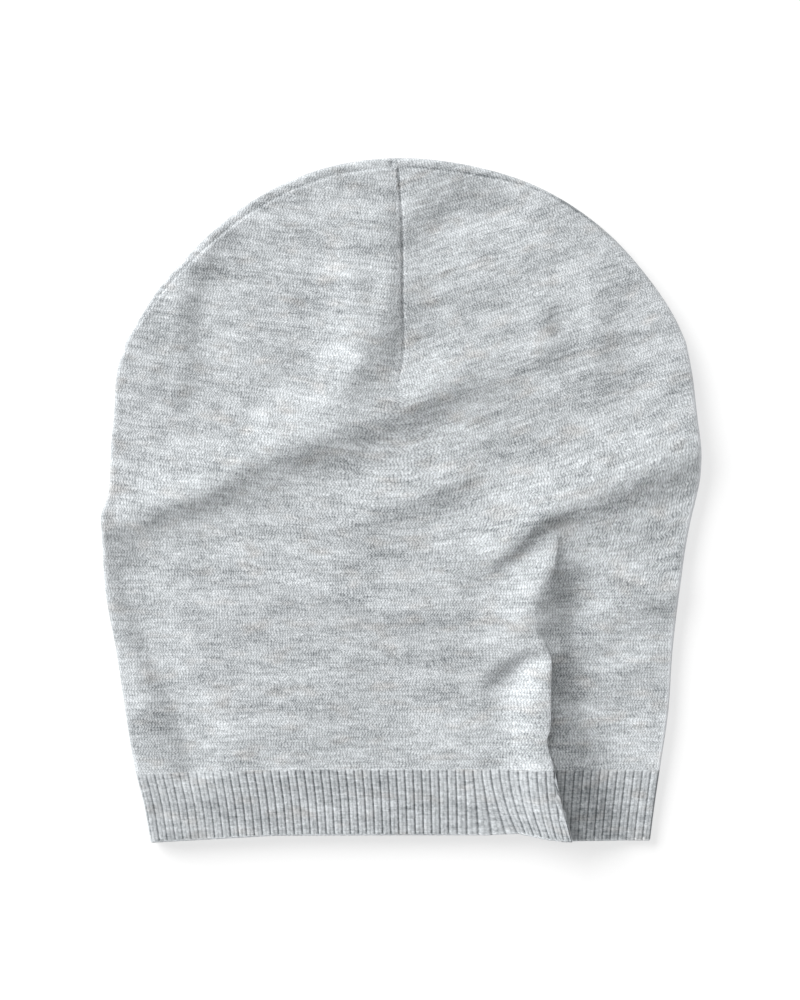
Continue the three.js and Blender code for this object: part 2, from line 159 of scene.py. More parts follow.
# Folds of the front layer. Each runs through its points, to the right or up, with its crest `height`
# above the loft; `upper` is its width on the left hand and `lower` on the right hand, and `start`
# and `end` are the shares of its length over which it fades in and out.
Fold = namedtuple("Fold", "name height upper lower start end along")
FOLDS = [
    Fold("waist fold, at the edge", 4.0, 30, 7.5, 0, 1,
         [(-129, -12), (-122, -10.5), (-112, -7.5), (-98, -1)]),
    Fold("waist fold, left part", 4.6, 12.5, 7.6, 0.5, 0.35,
         [(-129, -10), (-116, -8.5), (-101, -2), (-84.4, 3.8), (-68.4, 12.7), (-58, 21)]),
    Fold("waist fold, long part", 4.7, 13.8, 9.7, 0.2, 0.35,
         [(-79.3, 22.3), (-47.4, 23.6), (-25.2, 30), (-0.7, 39.1), (23, 49.7), (46.4, 52.4),
          (60.8, 54.7)]),
    Fold("shoulder under the waist folds", 1.3, 5, 11, 0.35, 0.4, [(-80, 9), (-60, 17), (-36, 12)]),
    Fold("right fold", 3.8, 13.4, 8.8, 0.35, 0,
         [(9.7, -33.5), (29.2, -26.6), (47.9, -13.3), (63.3, -5), (84.7, 4.6), (104.3, 11.6),
          (127.9, 23.3)]),
    Fold("crease above the pleat", 2.2, 8, 2.6, 0.32, 0.3,
         [(31.5, -31), (40.3, -25.3), (48.7, -19.9), (54.5, -13.4), (60.7, -8.6), (68.4, -5.3),
          (77, -1.5)]),
    Fold("soft fold under the long one", 1.8, 12.1, 7.2, 0.3, 0.3,
         [(-35.2, -12.1), (-6.7, -5.5), (13.5, 5), (41.7, 21.4)]),
    Fold("low crease", 2.4, 5, 9.5, 0.3, 0.3,
         [(-83.5, -17.4), (-60.8, -32.4), (-31.3, -41.2), (-1.5, -48.6), (28.1, -56.9)]),
    Fold("left side hollow", -2.9, 6.6, 12.3, 0.1, 0.15,
         [(-84.9, -123.4), (-95.2, -88.4), (-104.5, -65), (-113.5, -41.6), (-121.4, -18.5)]),
    Fold("left side ridge", 0.8, 4.5, 7.5, 0.2, 0.4,
         [(-104.7, -109.7), (-111.4, -75.3), (-120.7, -42.3), (-124.4, -12.7)]),
    Fold("tip of the pleat", 2.0, 7, 2.2, 0.35, 0.25, [(61.2, -36), (64.5, -27), (65.2, -13)]),
    Fold("hollow beside the pleat", -4.5, 8.5, 30, 0, 0.55,
         [(98, -147), (91.5, -130), (86, -113), (81, -98), (78, -85), (77.5, -68), (75, -50),
          (73.5, -25)]),
    Fold("hollow beside the pleat's top", -3.1, 6.5, 16, 0.3, 0.55,
         [(75, -62), (74, -50), (72.5, -36), (71, -18)]),
    Fold("nick in the pleat", -2.2, 4.2, 12, 0.4, 0.28,
         [(30.5, -81), (37.5, -77.8), (44, -73.4), (51.4, -68.2), (57, -66.8), (61, -67)]),
    Fold("dent left of the nick", -1.4, 6, 12, 0.45, 0.45,
         [(29, -89), (36, -83), (43.5, -76), (50, -69.5), (56, -66)]),
    Fold("ridge over the nick", 1.1, 4.5, 3.4, 0.4, 0.2,
         [(29.5, -76.5), (35.5, -74.4), (41.4, -70.9), (48.6, -65.6), (56, -63.4), (62, -65)]),
    Fold("upper left hollow", -1.4, 6.4, 16, 0.2, 0.2,
         [(-92.2, 29.7), (-86.4, 50.4), (-83.1, 85), (-74.4, 104.5), (-58.5, 118.8)]),
    Fold("upper left ridge", 0.9, 5, 9.8, 0.2, 0.2,
         [(-98.8, 33.9), (-93.1, 54.7), (-95.4, 81.1), (-85.3, 100.8), (-67.2, 118.4)]),
    Fold("left slant", -0.5, 7.1, 5, 0.3, 0.3, [(-74.1, 22.6), (-55.8, 42.4), (-36.5, 64)]),
    Fold("upright ridge", 4.3, 11.4, 7.5, 0.3, 0.3,
         [(-33.6, 33.3), (-22.7, 55.1), (-19.1, 84.8), (-28.4, 112.5)]),
    Fold("ridge into the dart", 4.1, 8.5, 11.1, 0.3, 0.3,
         [(-24, 38.2), (-12.8, 58.3), (-7, 76.8), (-4.8, 105.9)]),
    Fold("upper ridge by the dart", 1.7, 17.8, 7.2, 0.3, 0.3,
         [(-7.3, 88.6), (-3.5, 109.9), (-9.1, 131.3)]),
    Fold("dart pull", -0.8, 5, 4, 0.1, 0.02,
         [(-1.5, 47.5), (0.6, 84.8), (0.2, 118.7), (-1.5, 140.8)]),
    Fold("top right hollow", -2.4, 11.3, 13.6, 0.3, 0.3,
         [(0.7, 94.2), (14.2, 110.1), (23, 121.6), (41.3, 120), (62, 119.4)]),
    Fold("first upright pull", 1.4, 8.9, 4.9, 0.3, 0.3, [(65.1, 55.1), (59.6, 72.1), (64, 89.9)]),
    Fold("second upright pull", 1.3, 5.4, 7.7, 0.3, 0.3,
         [(82.5, 46.6), (81.8, 72.1), (80.5, 100.8)]),
    Fold("right shoulder ridge", 1.0, 7.9, 12.2, 0.3, 0.3, [(122.1, 25.3), (118.2, 43.7), (107, 60)]),
    Fold("right shoulder hollow", -1.1, 8.3, 11.4, 0.3, 0.3,
         [(99.4, 25.1), (95.2, 46.3), (97.1, 67.7)]),
    Fold("hollow at the lower right", -0.4, 6, 5, 0.3, 0.3, [(105, -126), (106, -108), (109, -92)]),
    Fold("lowest right pull", 1.2, 6.8, 5, 0.3, 0.3, [(86.6, -80.4), (98.7, -70.4), (112.6, -67.1)]),
    Fold("lower right pull", 1.7, 10, 7, 0.2, 0.1, [(76, -49), (94, -45), (124, -35)]),
    Fold("lower middle swell", 1.2, 16, 9.2, 0.3, 0.3,
         [(-51.5, -97.5), (-29.9, -81.1), (-9.3, -71.8)]),
]

# Folds that make the pleat, in places of the edge that shows when it is turned over
PLEAT_LINE = [
    (72.3, -146), (68.3, -130.6), (65.5, -120.4), (63.8, -112.8), (62.5, -107.7), (61, -102),
    (62.3, -97), (62.8, -84.8), (62.8, -72), (62.6, -66), (60.6, -61), (57.6, -55),
    (55.6, -49), (55.2, -44),
]
PLEAT_FOLDS = [
    Fold("whole pleat", 3.6, 11, 7, 0, 0.27, PLEAT_LINE),
    Fold("round edge", 3.7, 5.8, 7.8, 0.45, 0.22,
         [(64, -146), (60, -130.6), (57, -120.4), (54.5, -110), (53, -102), (53.6, -93), (54, -84.8),
          (54, -70), (51, -58)]),
    Fold("rise at the hem", 6.0, 20, 11.5, 0, 0.6,
         [*PLEAT_LINE[:6], (62.3, -85)]),
    Fold("upper part", 5.4, 13, 9, 0.35, 0.4,
         [(60.5, -66), (54.3, -50), (55.3, -44), (59.2, -35), (62.2, -27), (63.7, -16)]),
]

# Pleat turned over itself: at each height, how far the cloth on its two sides is drawn across it
Reach = namedtuple("Reach", "y left right")
PLEAT_REACH = [
    Reach(-146, 9.0, 2.5),
    Reach(-130, 6.5, 2.5),
    Reach(-113, 4.8, 2.5),
    Reach(-100, 4.2, 2.5),
    Reach(-76, 4.2, 2.2),
    Reach(-66, 2.6, 1.4),
    Reach(-60, 2.2, 1.2),
    Reach(-49, 0.0, 0.0),
]
# Over what distance the cloth turns, and how far left and right of it the drawn cloth eases out
PLEAT_TURN = 1.9
PLEAT_EASE_LEFT = 28.0
PLEAT_EASE_RIGHT = 12.0
# The turning line in the cloth lies left of the edge that shows: by a share of the left reach, less some
# of the turn
LAG_SHARE = 0.8
LAG_LESS = 1.3
# How far before its turning line the pleat is highest at the hem, so that the cloth turned over lies below
HEM_CREST = 3.0
HEM_CREST_FROM = Span(-122, -20)
# Share of its thickness that the cloth loses where the pleat doubles it over
PLEAT_SQUEEZE = 0.6
PLEAT_SQUEEZE_WIDTH = 4.5
PLEAT_SQUEEZE_FROM = Span(-44, -16)

# Ribs at the hem's edge drawn along the hem to the pleat: how far at most, where from the left edge of
# the hem, over what widths before and after it, and how soon it fades above the edge
RIB_DRAG = 6.5
RIB_DRAG_AT = 148.0
RIB_DRAG_BEFORE = 9.0
RIB_DRAG_AFTER = 22.0
RIB_DRAG_POWER = 1.6
# How much shallower the ribs are where the hem is pulled open, at its left and right of the pleat
OPEN_LEFT = 0.5
OPEN_LEFT_FROM = Span(-58, -30)
OPEN_RIGHT = 0.4
OPEN_RIGHT_FROM = Span(64, 8)
# Groove between two ribs, as shares of a rib's width and of its rise: its width, and the rib's own round
RIB_GROOVE = 0.1
RIB_ROUND = 0.12

# Dart of the front, its tip, and the dart of the back with the end that shows at the top
DART_LINE = [(-1.5, 48), (0.6, 60), (0.6, 85), (0.2, 119), (-0.6, 132), (-1.8, 144)]
DART_TIP = 48.0
BACK_DART_LINE = [(-4, 52), (-4, 100), (-4, 145)]
BACK_DART_END = -4.0
# Place across where the front's knit is divided into its two parts, and height above which seams show
DART_SPLIT = -1.5
SHOULDER = 60.0

# How far inside the dome's edge its seam runs at most, how that swells along the dome, and how much less
# it is on the right
SEAM_INSET = 4.3
SEAM_INSET_SKEW = 0.75
SEAM_INSET_POWER = 0.95
SEAM_INSET_LESS = 0.65
SEAM_INSET_LESS_FROM = Span(0.57, 0.17)

# Grooves of the seams, in millimetres: depth, width, and the lip beside each
Lip = namedtuple("Lip", "away width")
SEAM_DEPTH = 0.7
SEAM_WIDTH = 0.55
SEAM_LIP = 0.05
DOME_LIP = Lip(1.5, 1.0)
DART_LIP = Lip(1.3, 0.9)
# Depth of the dome seam against the dart's, and the shares of the dome where it comes and goes
DOME_SEAM_DEPTH = 0.62
DOME_SEAM_START = Span(0, 0.05)
DOME_SEAM_END = Span(0.86, -0.12)
# Cloth outside the dome seam: where it begins, how much lower it lies and how dark its painted shade is.
# The dart's groove begins inside the seam.
ALLOWANCE_FROM = Span(0, -0.8)
ALLOWANCE_DROP = 0.3
ALLOWANCE_SHADE = 0.25
INSIDE_SEAM = Span(-0.4, 0.8)
# The dart's groove comes in at its tip and is half as deep there as further up
DART_START = Span(0, 0.04)
DART_SHALLOW = 0.5
DART_DEEPENS = Span(0.1, 0.3)
# Groove of the dart on the back layer, which comes in over the lower share of its length
BACK_GROOVE = 0.6
BACK_GROOVE_WIDTH = 0.9
BACK_GROOVE_FROM = Span(0, 0.3)

# Painted shade: how much darker the knit's colour is per share of painted shade, which stands for the
# shade in a groove and beside the pleat and, negative, for the painted light at the rims; and how much more
# so on the right of the dome, where the groove runs along the key light's direction and gets no shade from it
PAINTED_SHADE_TONE = 0.16
DOME_SHADE_MORE = 2.0
DOME_SHADE_FROM = Span(0.46, 0.05)
# Painted shade on the cloth right of the pleat, where the pleat shades it, at its middle and at the hem:
# how far out, how wide, how strong
Shade = namedtuple("Shade", "away width strength")
PLEAT_SHADE = Shade(7.0, 5.0, 0.56)
PLEAT_SHADE_HEM = Shade(15.0, 10.0, 0.98)
PLEAT_SHADE_FROM = Span(-50, -16)
PLEAT_SHADE_WIDENS = Span(-100, -28)

# The key light comes from the picture's upper left
KEY_AZIMUTH = math.radians(140)
# Painted light at the edges turned from the key light, which lightens the knit's colour where those edges
# lie in shade, standing in for the board's light through the fibres: how strongly, how far inside the edge
# it is strongest, over what width, and which way those edges face. HEM_LIGHT is the same for the hem's
# lower edge.
RIM_LIGHT = 4.2
RIM_AT = 0.7
RIM_WIDTH = 0.8
RIM_AWAY = (0.77, -0.64)
HEM_LIGHT = 2.2

# How far the darts turn the knit on the two sides, in degrees, and from what height up
RIGHT_TURN = 17.0
LEFT_TURN = 7.0
TURN_FROM = Span(-55, 105)
# Least half width over which the two turns blend, which keeps it off zero at the darts' tip
LEAST_BLEND = 0.01

# Stretches of even steps: the share at which each ends, and how many steps it holds
CROWN_ACROSS = [
    (0.003, 4), (0.012, 6), (0.03, 6), (0.475, 84), (0.53, 32), (0.70, 32), (0.81, 56), (0.97, 28),
    (0.988, 6), (0.997, 6), (1, 4),
]
CROWN_UP = [(0.93, 140), (0.998, 40), (1, 4)]
BAND_ACROSS = [
    (0.004, 6), (0.02, 8), (0.05, 8), (0.70, 130), (0.86, 200), (0.95, 20), (0.98, 8), (0.996, 8),
    (1, 6),
]
# Rings in which the edge turns under, as shares of a quarter turn
EDGE_RINGS = (0.22, 0.5, 0.78, 1.0)
# How much further in the flat of the back begins, and how far aside its knit lies in the cloth
BACK_INSET = 1.2
BACK_ASIDE = 260.0

# Rows of the hem's outside and inside, from its lower edge, 0, to the rib line, 1
POINTS_PER_RIB = 14
BAND_ROWS = [0, 0.006, 0.016, 0.03, 0.05, *np.linspace(0.09, 0.93, 18), 0.95, 0.965, 0.98, 1]
INSIDE_ROWS = [0, 0.006, 0.02, 0.3, 0.6, 1]
# By row: how far the edge is rounded in, how deep the grooves are, how far each groove lifts the edge, and
# the share of the painted light at the hem's edge
TUCK = [(0, 0.5), (0.006, 0.2), (0.016, 0.05), (0.03, 0)]
INSIDE_TUCK = [(0, 0.3), (0.006, 0.1), (0.02, 0)]
GROOVE_DEPTH = [(0.95, 1), (1, 0)]
GROOVE_LIFT = [(0, 0.35), (0.05, 0)]
HEM_LIT = [(0.016, 1), (0.03, 0)]

# Painted shade on the yarn between the ribs, where the grooves lie in shade: how dark it is, how steeply
# that fades per rib, and per millimetre at the rib line
RIB_SHADE = 0.2
RIB_SHADE_FADE = 7.0
RIB_SHADE_END = 0.8

# In metres: half the floor's side, how far it lies below the cloth, the height above it at which the
# view's height is measured, and the camera's place across. The sensor's height is in millimetres.
FLOOR_HALF = 3.0
FLOOR_BELOW = 0.0002
FRAMED_HEIGHT = 0.006
FRAMED_X = -0.0006
SENSOR_HEIGHT = 24.0

# Kind of the nodes that do arithmetic
MATH = "ShaderNodeMath"


# Shape of the cloth


def smoothstep(value):
    """Eased step from 0 to 1, three squares less two cubes."""
    value = np.clip(value, 0.0, 1.0)
    return value * value * (3 - 2 * value)


def eased(value, span):
    """Eased step from 0 to 1 over a span."""
    return smoothstep((value - span.start) / span.over)


def bell(value, width):
    """Bell of height 1 about zero: e to the power of minus the square of value over width."""
    return np.exp(-((value / width) ** 2))


def read_table(rows, place, column=1):
    """Value of a short table at a place, straight between its rows. Its first column holds the places."""
    table = np.array(rows, float)
    return np.interp(place, table[:, 0], table[:, column])


def read_points(points, at, places):
    """Points given at places along a line, read at other places, straight between them."""
    return np.stack([np.interp(places, at, values) for values in points.T], axis=-1)


def smooth_line(points, count):
    """Cubic through points with chord-length tangents, resampled to count points evenly spaced."""
    points = np.asarray(points, float)
    chords = np.linalg.norm(np.diff(points, axis=0), axis=1)
    at = np.concatenate([[0], np.cumsum(chords)])
    slopes = np.diff(points, axis=0) / chords[:, None]
    tangents = np.empty_like(points)
    tangents[0], tangents[-1] = slopes[0], slopes[-1]
    before, after = chords[:-1, None], chords[1:, None]
    tangents[1:-1] = (slopes[:-1] * after + slopes[1:] * before) / (before + after)

    # Between two points, the cubic that leaves the first and reaches the second along their tangents
    places = np.linspace(0, at[-1], 12 * len(points) + 200)
    piece = np.clip(np.searchsorted(at, places, side="right") - 1, 0, len(chords) - 1)
    width = chords[piece][:, None]
    t = ((places - at[piece]) / chords[piece])[:, None]
    start = (2 * t**3 - 3 * t**2 + 1) * points[piece] + (t**3 - 2 * t**2 + t) * width * tangents[piece]
    end = (3 * t**2 - 2 * t**3) * points[piece + 1] + (t**3 - t**2) * width * tangents[piece + 1]
    dense = start + end

    steps = np.concatenate([[0], np.cumsum(np.linalg.norm(np.diff(dense, axis=0), axis=1))])
    return read_points(dense, steps, np.linspace(0, steps[-1], count))


def nearest(line, x, y):
    """Distance to a line of points, its side (left hand positive) and the share of its length."""
    best = np.full(x.shape, np.inf)
    side = np.ones(x.shape)
    share = np.zeros(x.shape)
    last = len(line) - 1
    for i, (a, b) in enumerate(zip(line[:-1], line[1:])):
        dx, dy = b - a
        t = np.clip(((x - a[0]) * dx + (y - a[1]) * dy) / (dx * dx + dy * dy), 0, 1)
        off_x, off_y = x - a[0] - t * dx, y - a[1] - t * dy
        distance = np.hypot(off_x, off_y)
        closer = distance < best
        best = np.where(closer, distance, best)
        side = np.where(closer, np.sign(dx * off_y - dy * off_x), side)
        share = np.where(closer, (i + t) / last, share)
    return best, side, share


LEFT_SIDE = smooth_line([(row.left, row.y) for row in SIDES], 120)
RIGHT_SIDE = smooth_line([(row.right, row.y) for row in SIDES], 120)
DOME_ARC = smooth_line(DOME, 160)
OUTLINE = np.concatenate([LEFT_SIDE, DOME_ARC[1:], RIGHT_SIDE[::-1][1:]])
OUTLINE_SHARES = np.linspace(0, 1, len(OUTLINE))
PLEAT = smooth_line(PLEAT_LINE, 60)
DART = smooth_line(DART_LINE, 40)
BACK_DART = smooth_line(BACK_DART_LINE, 20)


def outline_normals():
    """Unit normals of the outline, outwards."""
    ahead = np.gradient(OUTLINE, axis=0)
    return np.stack([-ahead[:, 1], ahead[:, 0]], axis=1) / np.linalg.norm(ahead, axis=1)[:, None]


def rib_line(share):
    """Height of the line where the ribs meet the jersey, drooping at both ends."""
    return RIB_LINE - LEFT_DROOP * (1 - share) ** DROOP_POWER - RIGHT_DROOP * share**DROOP_POWER


def dome_seam_inset(share):
    """How far inside the dome's edge its seam runs: half a sine wave skewed to the left, less on the right,
    where the seam runs close to the edge."""
    swell = np.sin(np.pi * np.clip(share, 0, 1) ** SEAM_INSET_SKEW) ** SEAM_INSET_POWER
    return SEAM_INSET * swell * (1 - SEAM_INSET_LESS * eased(share, SEAM_INSET_LESS_FROM))


def pleat_reach(y):
    """How far the cloth left and right of the pleat is drawn across it, from the table."""
    return read_table(PLEAT_REACH, y, 1), read_table(PLEAT_REACH, y, 2)


def pleat_lag(y):
    """How far the pleat's turning line in the cloth lies left of the edge that shows."""
    return np.maximum(LAG_SHARE * pleat_reach(y)[0] - LAG_LESS * PLEAT_TURN, 0)


def fold_rise(fold, x, y):
    """Height that a fold adds: a bell across its line, with a width for each side, fading at both ends."""
    distance, side, share = nearest(smooth_line(fold.along, 4 * len(fold.along)), x, y)
    rise = fold.height * bell(distance, np.where(side > 0, fold.upper, fold.lower))
    if fold.start:
        rise = rise * smoothstep(share / fold.start)
    if fold.end:
        rise = rise * smoothstep((1 - share) / fold.end)
    return rise


def fold_height(x, y):
    """Height of the front layer inside its edge: the loft, lower at the two sides, and the folds."""
    height = LOFT + LOFT_RISE * bell(x, LOFT_RISE_WIDTH) * bell(y - LOFT_RISE_Y, LOFT_RISE_LENGTH)
    sides = bell(nearest(OUTLINE, x, y)[0], EDGE_DROP_WIDTH)
    height = height - EDGE_DROP * sides * eased(y, EDGE_DROP_LOW) * eased(y, EDGE_DROP_HIGH)
    for fold in FOLDS:
        height = height + fold_rise(fold, x, y)
    turned = x + pleat_lag(y) + HEM_CREST * eased(y, HEM_CREST_FROM)
    for fold in PLEAT_FOLDS:
        height = height + fold_rise(fold, turned, y)
    return height


def edge_rounding(x, y):
    """Share of the full height near the outline: a superellipse from 0 at the edge to 1 inside."""
    inset = np.clip(nearest(OUTLINE, x, y)[0] / EDGE_ROUND, 0, 1)
    return (1 - (1 - inset) ** EDGE_POWER) ** (1 / EDGE_POWER)


def front_height(x, y):
    """Height of the front layer's face without its seams: the folds, rounded down at the edge."""
    return EDGE_HEIGHT + (fold_height(x, y) - EDGE_HEIGHT) * edge_rounding(x, y)


def pleat_shift(x, y):
    """Sideways move that turns the pleat over: a steep step back across its line,
    (l - r)/2 - (l + r)/2 tanh(a / turn), that eases out on both sides."""
    left, right = pleat_reach(y)
    distance, side, _ = nearest(PLEAT, x + pleat_lag(y), y)
    across = -distance * side
    step = (left - right) / 2 - (left + right) / 2 * np.tanh(across / PLEAT_TURN)
    ease = np.where(across < 0, PLEAT_EASE_LEFT, PLEAT_EASE_RIGHT)
    return step * np.exp(-np.abs(across) / ease)


def face(x, y):
    """Points of the front layer's face over plan points."""
    return np.stack([x + pleat_shift(x, y), y, front_height(x, y)], axis=-1)


def squeeze(x, y):
    """Share of its thickness that the cloth keeps: less by a bell across the pleat, which doubles it over."""
    distance = nearest(PLEAT, x + pleat_lag(y), y)[0]
    return 1 - PLEAT_SQUEEZE * bell(distance, PLEAT_SQUEEZE_WIDTH) * eased(y, PLEAT_SQUEEZE_FROM)


def pleat_shade(x, y):
    """Share of painted shade on the cloth right of the pleat, where the pleat shades it: a bell across it,
    stronger, wider and further out at the hem."""
    distance, side, _ = nearest(PLEAT, x + pleat_lag(y), y)
    low = eased(y, PLEAT_SHADE_WIDENS)
    away, width, strength = (a + (b - a) * low for a, b in zip(PLEAT_SHADE, PLEAT_SHADE_HEM))
    return strength * bell(-distance * side - away, width) * eased(y, PLEAT_SHADE_FROM)


def rim_light(x, y):
    """Share of painted light, standing in for the board's light through the fibres: a bell just inside the
    edges that are turned from the key light."""
    inset, _, share = nearest(OUTLINE, x, y)
    turned = np.clip(outline_normals() @ np.array(RIM_AWAY), 0, 1)
    return np.interp(share, OUTLINE_SHARES, turned) * bell(inset - RIM_AT, RIM_WIDTH)


def seam_grooves(x, y):
    """Height taken away along the dome seam, the front dart and the end of the back dart, a bell across
    each less a bell for its lip, and the painted shade there: the grooves' and the pleat's, less the rims'
    painted light."""
    inset, _, share = nearest(DOME_ARC, x, y)
    across = inset - dome_seam_inset(share)
    on_dome = eased(share, DOME_SEAM_START) * eased(share, DOME_SEAM_END) * (y > SHOULDER)
    dome = DOME_SEAM_DEPTH * on_dome * bell(across, SEAM_WIDTH)
    allowance = on_dome * eased(across, ALLOWANCE_FROM)
    inside = eased(across, INSIDE_SEAM)

    distance, side, length = nearest(DART, x, y)
    deepening = DART_SHALLOW + (1 - DART_SHALLOW) * eased(length, DART_DEEPENS)
    on_dart = eased(length, DART_START) * deepening * inside
    dart = on_dart * bell(distance, SEAM_WIDTH)
    back_dart = (1 - inside) * (y > SHOULDER) * bell(x - BACK_DART_END, SEAM_WIDTH)

    lips = on_dome * bell(across - DOME_LIP.away, DOME_LIP.width)
    lips = lips + on_dart * bell(distance - DART_LIP.away, DART_LIP.width) * (side < 0)
    grooves = np.maximum(np.maximum(dome, dart), back_dart)
    drop = SEAM_DEPTH * grooves - SEAM_LIP * lips + ALLOWANCE_DROP * allowance

    # Painted shade in the grooves, stronger on the right of the dome, and on the cloth outside the dome seam
    dome_shade = dome * (1 + DOME_SHADE_MORE * eased(share, DOME_SHADE_FROM))
    shade = np.maximum(np.maximum(grooves, dome_shade), ALLOWANCE_SHADE * allowance)
    return drop, shade + pleat_shade(x, y) - RIM_LIGHT * rim_light(x, y)


def unrolled(x, y, height, top):
    """Plan points moved outwards by how far the cloth has come down from its top at the edge."""
    share = nearest(OUTLINE, x, y)[2]
    out = read_points(outline_normals(), OUTLINE_SHARES, share)
    return np.stack([x, y], axis=-1) + out * np.maximum(top - height, 0)[..., None]


def knit_turn(x, y, side):
    """Angle by which the darts turn the knit at a place, in radians, blending below the darts' tip."""
    blend = np.maximum(DART_TIP - y, LEAST_BLEND)
    right_share = np.where(y > DART_TIP, side > 0, smoothstep((x + blend) / (2 * blend)))
    angle = np.radians(RIGHT_TURN * right_share - LEFT_TURN * (1 - right_share))
    return angle * eased(y, TURN_FROM)


def front_knit(x, y, side):
    """Place in the unsewn jersey of a point on the front: turned about the dart's tip by knit_turn."""
    angle = knit_turn(x, y, side)
    up = y - DART_TIP
    across = x * np.cos(angle) + up * np.sin(angle)
    along = DART_TIP - x * np.sin(angle) + up * np.cos(angle)
    return np.stack([across, along], axis=1)


# Meshes


def quads(grid):
    """Faces of a grid of vertex numbers, turned upwards where columns run right and rows run up."""
    return np.stack([grid[:-1, :-1], grid[:-1, 1:], grid[1:, 1:], grid[1:, :-1]], axis=-1).reshape(-1, 4)


def strip(outer, inner):
    """Faces between two paths of as many points, the first one outside or above the second."""
    return np.stack([outer[:-1], outer[1:], inner[1:], inner[:-1]], axis=-1)


def fans(fine, coarse):
    """Triangles between a path and one of half as many steps."""
    even, odd, after = fine[:-2:2], fine[1:-1:2], fine[2::2]
    here, there = coarse[:-1], coarse[1:]
    return np.concatenate([
        np.stack([even, odd, here], axis=-1),
        np.stack([odd, there, here], axis=-1),
        np.stack([odd, after, there], axis=-1),
    ])


def edge_path(grid):
    """Values along a grid's edge: up its left side, along its top and down its right side."""
    return np.concatenate([grid[:-1, 0], grid[-1, :], grid[-2::-1, -1]])


def with_edge(grid, path):
    """A grid of points with the points of a path put along its edge."""
    flat = grid.reshape(-1, grid.shape[-1]).copy()
    flat[edge_path(np.arange(len(flat)).reshape(grid.shape[:-1]))] = path
    return flat.reshape(grid.shape)


def inset_path(path, inset):
    """A path moved to its right hand by a distance; its two ends move level."""
    ahead = np.gradient(path, axis=0)
    right = np.stack([ahead[:, 1], -ahead[:, 0]], axis=1)
    right /= np.linalg.norm(right, axis=1)[:, None]
    right[0], right[-1] = (1, 0), (-1, 0)
    return path + inset * right


def blend_grid(path, up, across):
    """Grid inside an edge path: a blend of its four sides, less the blend of its four corners."""
    rows, columns = len(up) - 1, len(across) - 1
    left, top, right = path[:rows + 1], path[rows:rows + columns + 1], path[rows + columns:][::-1]
    bottom = left[0] + (right[0] - left[0]) * across[:, None]
    v, u = up[:, None, None], across[None, :, None]
    low = (1 - u) * left[0] + u * right[0]
    high = (1 - u) * left[-1] + u * right[-1]
    sides = (1 - u) * left[:, None] + u * right[:, None]
    return (1 - v) * bottom[None] + v * top[None] + sides - (1 - v) * low - v * high


def spaced(stretches):
    """Even steps from 0 within each stretch of a list of (end, count) stretches."""
    starts = [0.0] + [end for end, _ in stretches[:-1]]
    steps = [np.linspace(start, end, count + 1)[1:] for start, (end, count) in zip(starts, stretches)]
    return np.concatenate([[0.0], *steps])


def outward(points):
    """Unit normals of a grid of points, up where columns run right and rows run up."""
    normals = np.cross(np.gradient(points, axis=1), np.gradient(points, axis=0))
    return normals / np.linalg.norm(normals, axis=-1, keepdims=True)


def side_path(line, bottom, shares):
    """Points up a side line from a height, at shares of what is left of it."""
    dense = np.linspace(0, 1, len(line))
    start = np.interp(bottom, line[:, 1], dense)
    return read_points(line, dense, start + (1 - start) * shares)


def level(plan, height):
    """Points over plan points, at one height or at a height for each."""
    return np.concatenate([plan, np.broadcast_to(height, plan.shape[:-1])[..., None]], axis=-1)


def make_object(name, points, faces, maps, rims, shade, material):
    """Mesh object from points in millimetres, lists of faces, each list's map for its corners, paths
    along which the faces meet at a sharp edge, and each point's share of painted shade, negative
    where light is painted."""
    mesh = bpy.data.meshes.new(name)
    polygons = [row for group in faces for row in group.tolist()]
    mesh.from_pydata((points * MM).tolist(), [], polygons)
    uv = np.concatenate([chart[group.reshape(-1)] for group, chart in zip(faces, maps)])
    mesh.uv_layers.new(name="knit").data.foreach_set("uv", uv.astype(np.float32).reshape(-1))
    mesh.polygons.foreach_set("use_smooth", np.ones(len(polygons), bool))
    # Each point's share of painted shade in grooves and beside the pleat, negative for painted light at the
    # rims
    shades = mesh.attributes.new("painted_shade_and_light", "FLOAT", "POINT")
    shades.data.foreach_set("value", shade.astype(np.float32))

    ends = np.empty(2 * len(mesh.edges), np.int32)
    mesh.edges.foreach_get("vertices", ends)
    ends = np.sort(ends.reshape(-1, 2), axis=1)
    rim = np.sort(np.concatenate([np.stack([path[:-1], path[1:]], axis=1) for path in rims]), axis=1)
    sharp = np.isin(ends[:, 0] * len(points) + ends[:, 1], rim[:, 0] * len(points) + rim[:, 1])
    mesh.edges.foreach_set("use_edge_sharp", sharp)
    mesh.update()
    if mesh.validate():
        raise RuntimeError(f"{name}: the mesh had faults")
    piece = bpy.data.objects.new(name, mesh)
    bpy.context.scene.collection.objects.link(piece)
    mesh.materials.append(material)
    return piece


class Shell:
    """Points gathered for one mesh, with the place of each in the cloth left and right of the dart and in
    the back's cloth."""

    def __init__(self):
        self.places = []
        self.maps = {"left": [], "right": [], "back": []}
        self.count = 0

    def add(self, place, plan):
        """Adds a grid or path of points, and gives back their numbers in the same layout."""
        flat, plan = place.reshape(-1, 3), plan.reshape(-1, 2)
        self.places.append(flat)
        self.maps["left"].append(front_knit(plan[:, 0], plan[:, 1], -1))
        self.maps["right"].append(front_knit(plan[:, 0], plan[:, 1], 1))
        self.maps["back"].append(np.stack([-plan[:, 0] - BACK_ASIDE, plan[:, 1]], axis=1))
        self.count += len(flat)
        return np.arange(self.count - len(flat), self.count).reshape(place.shape[:-1])


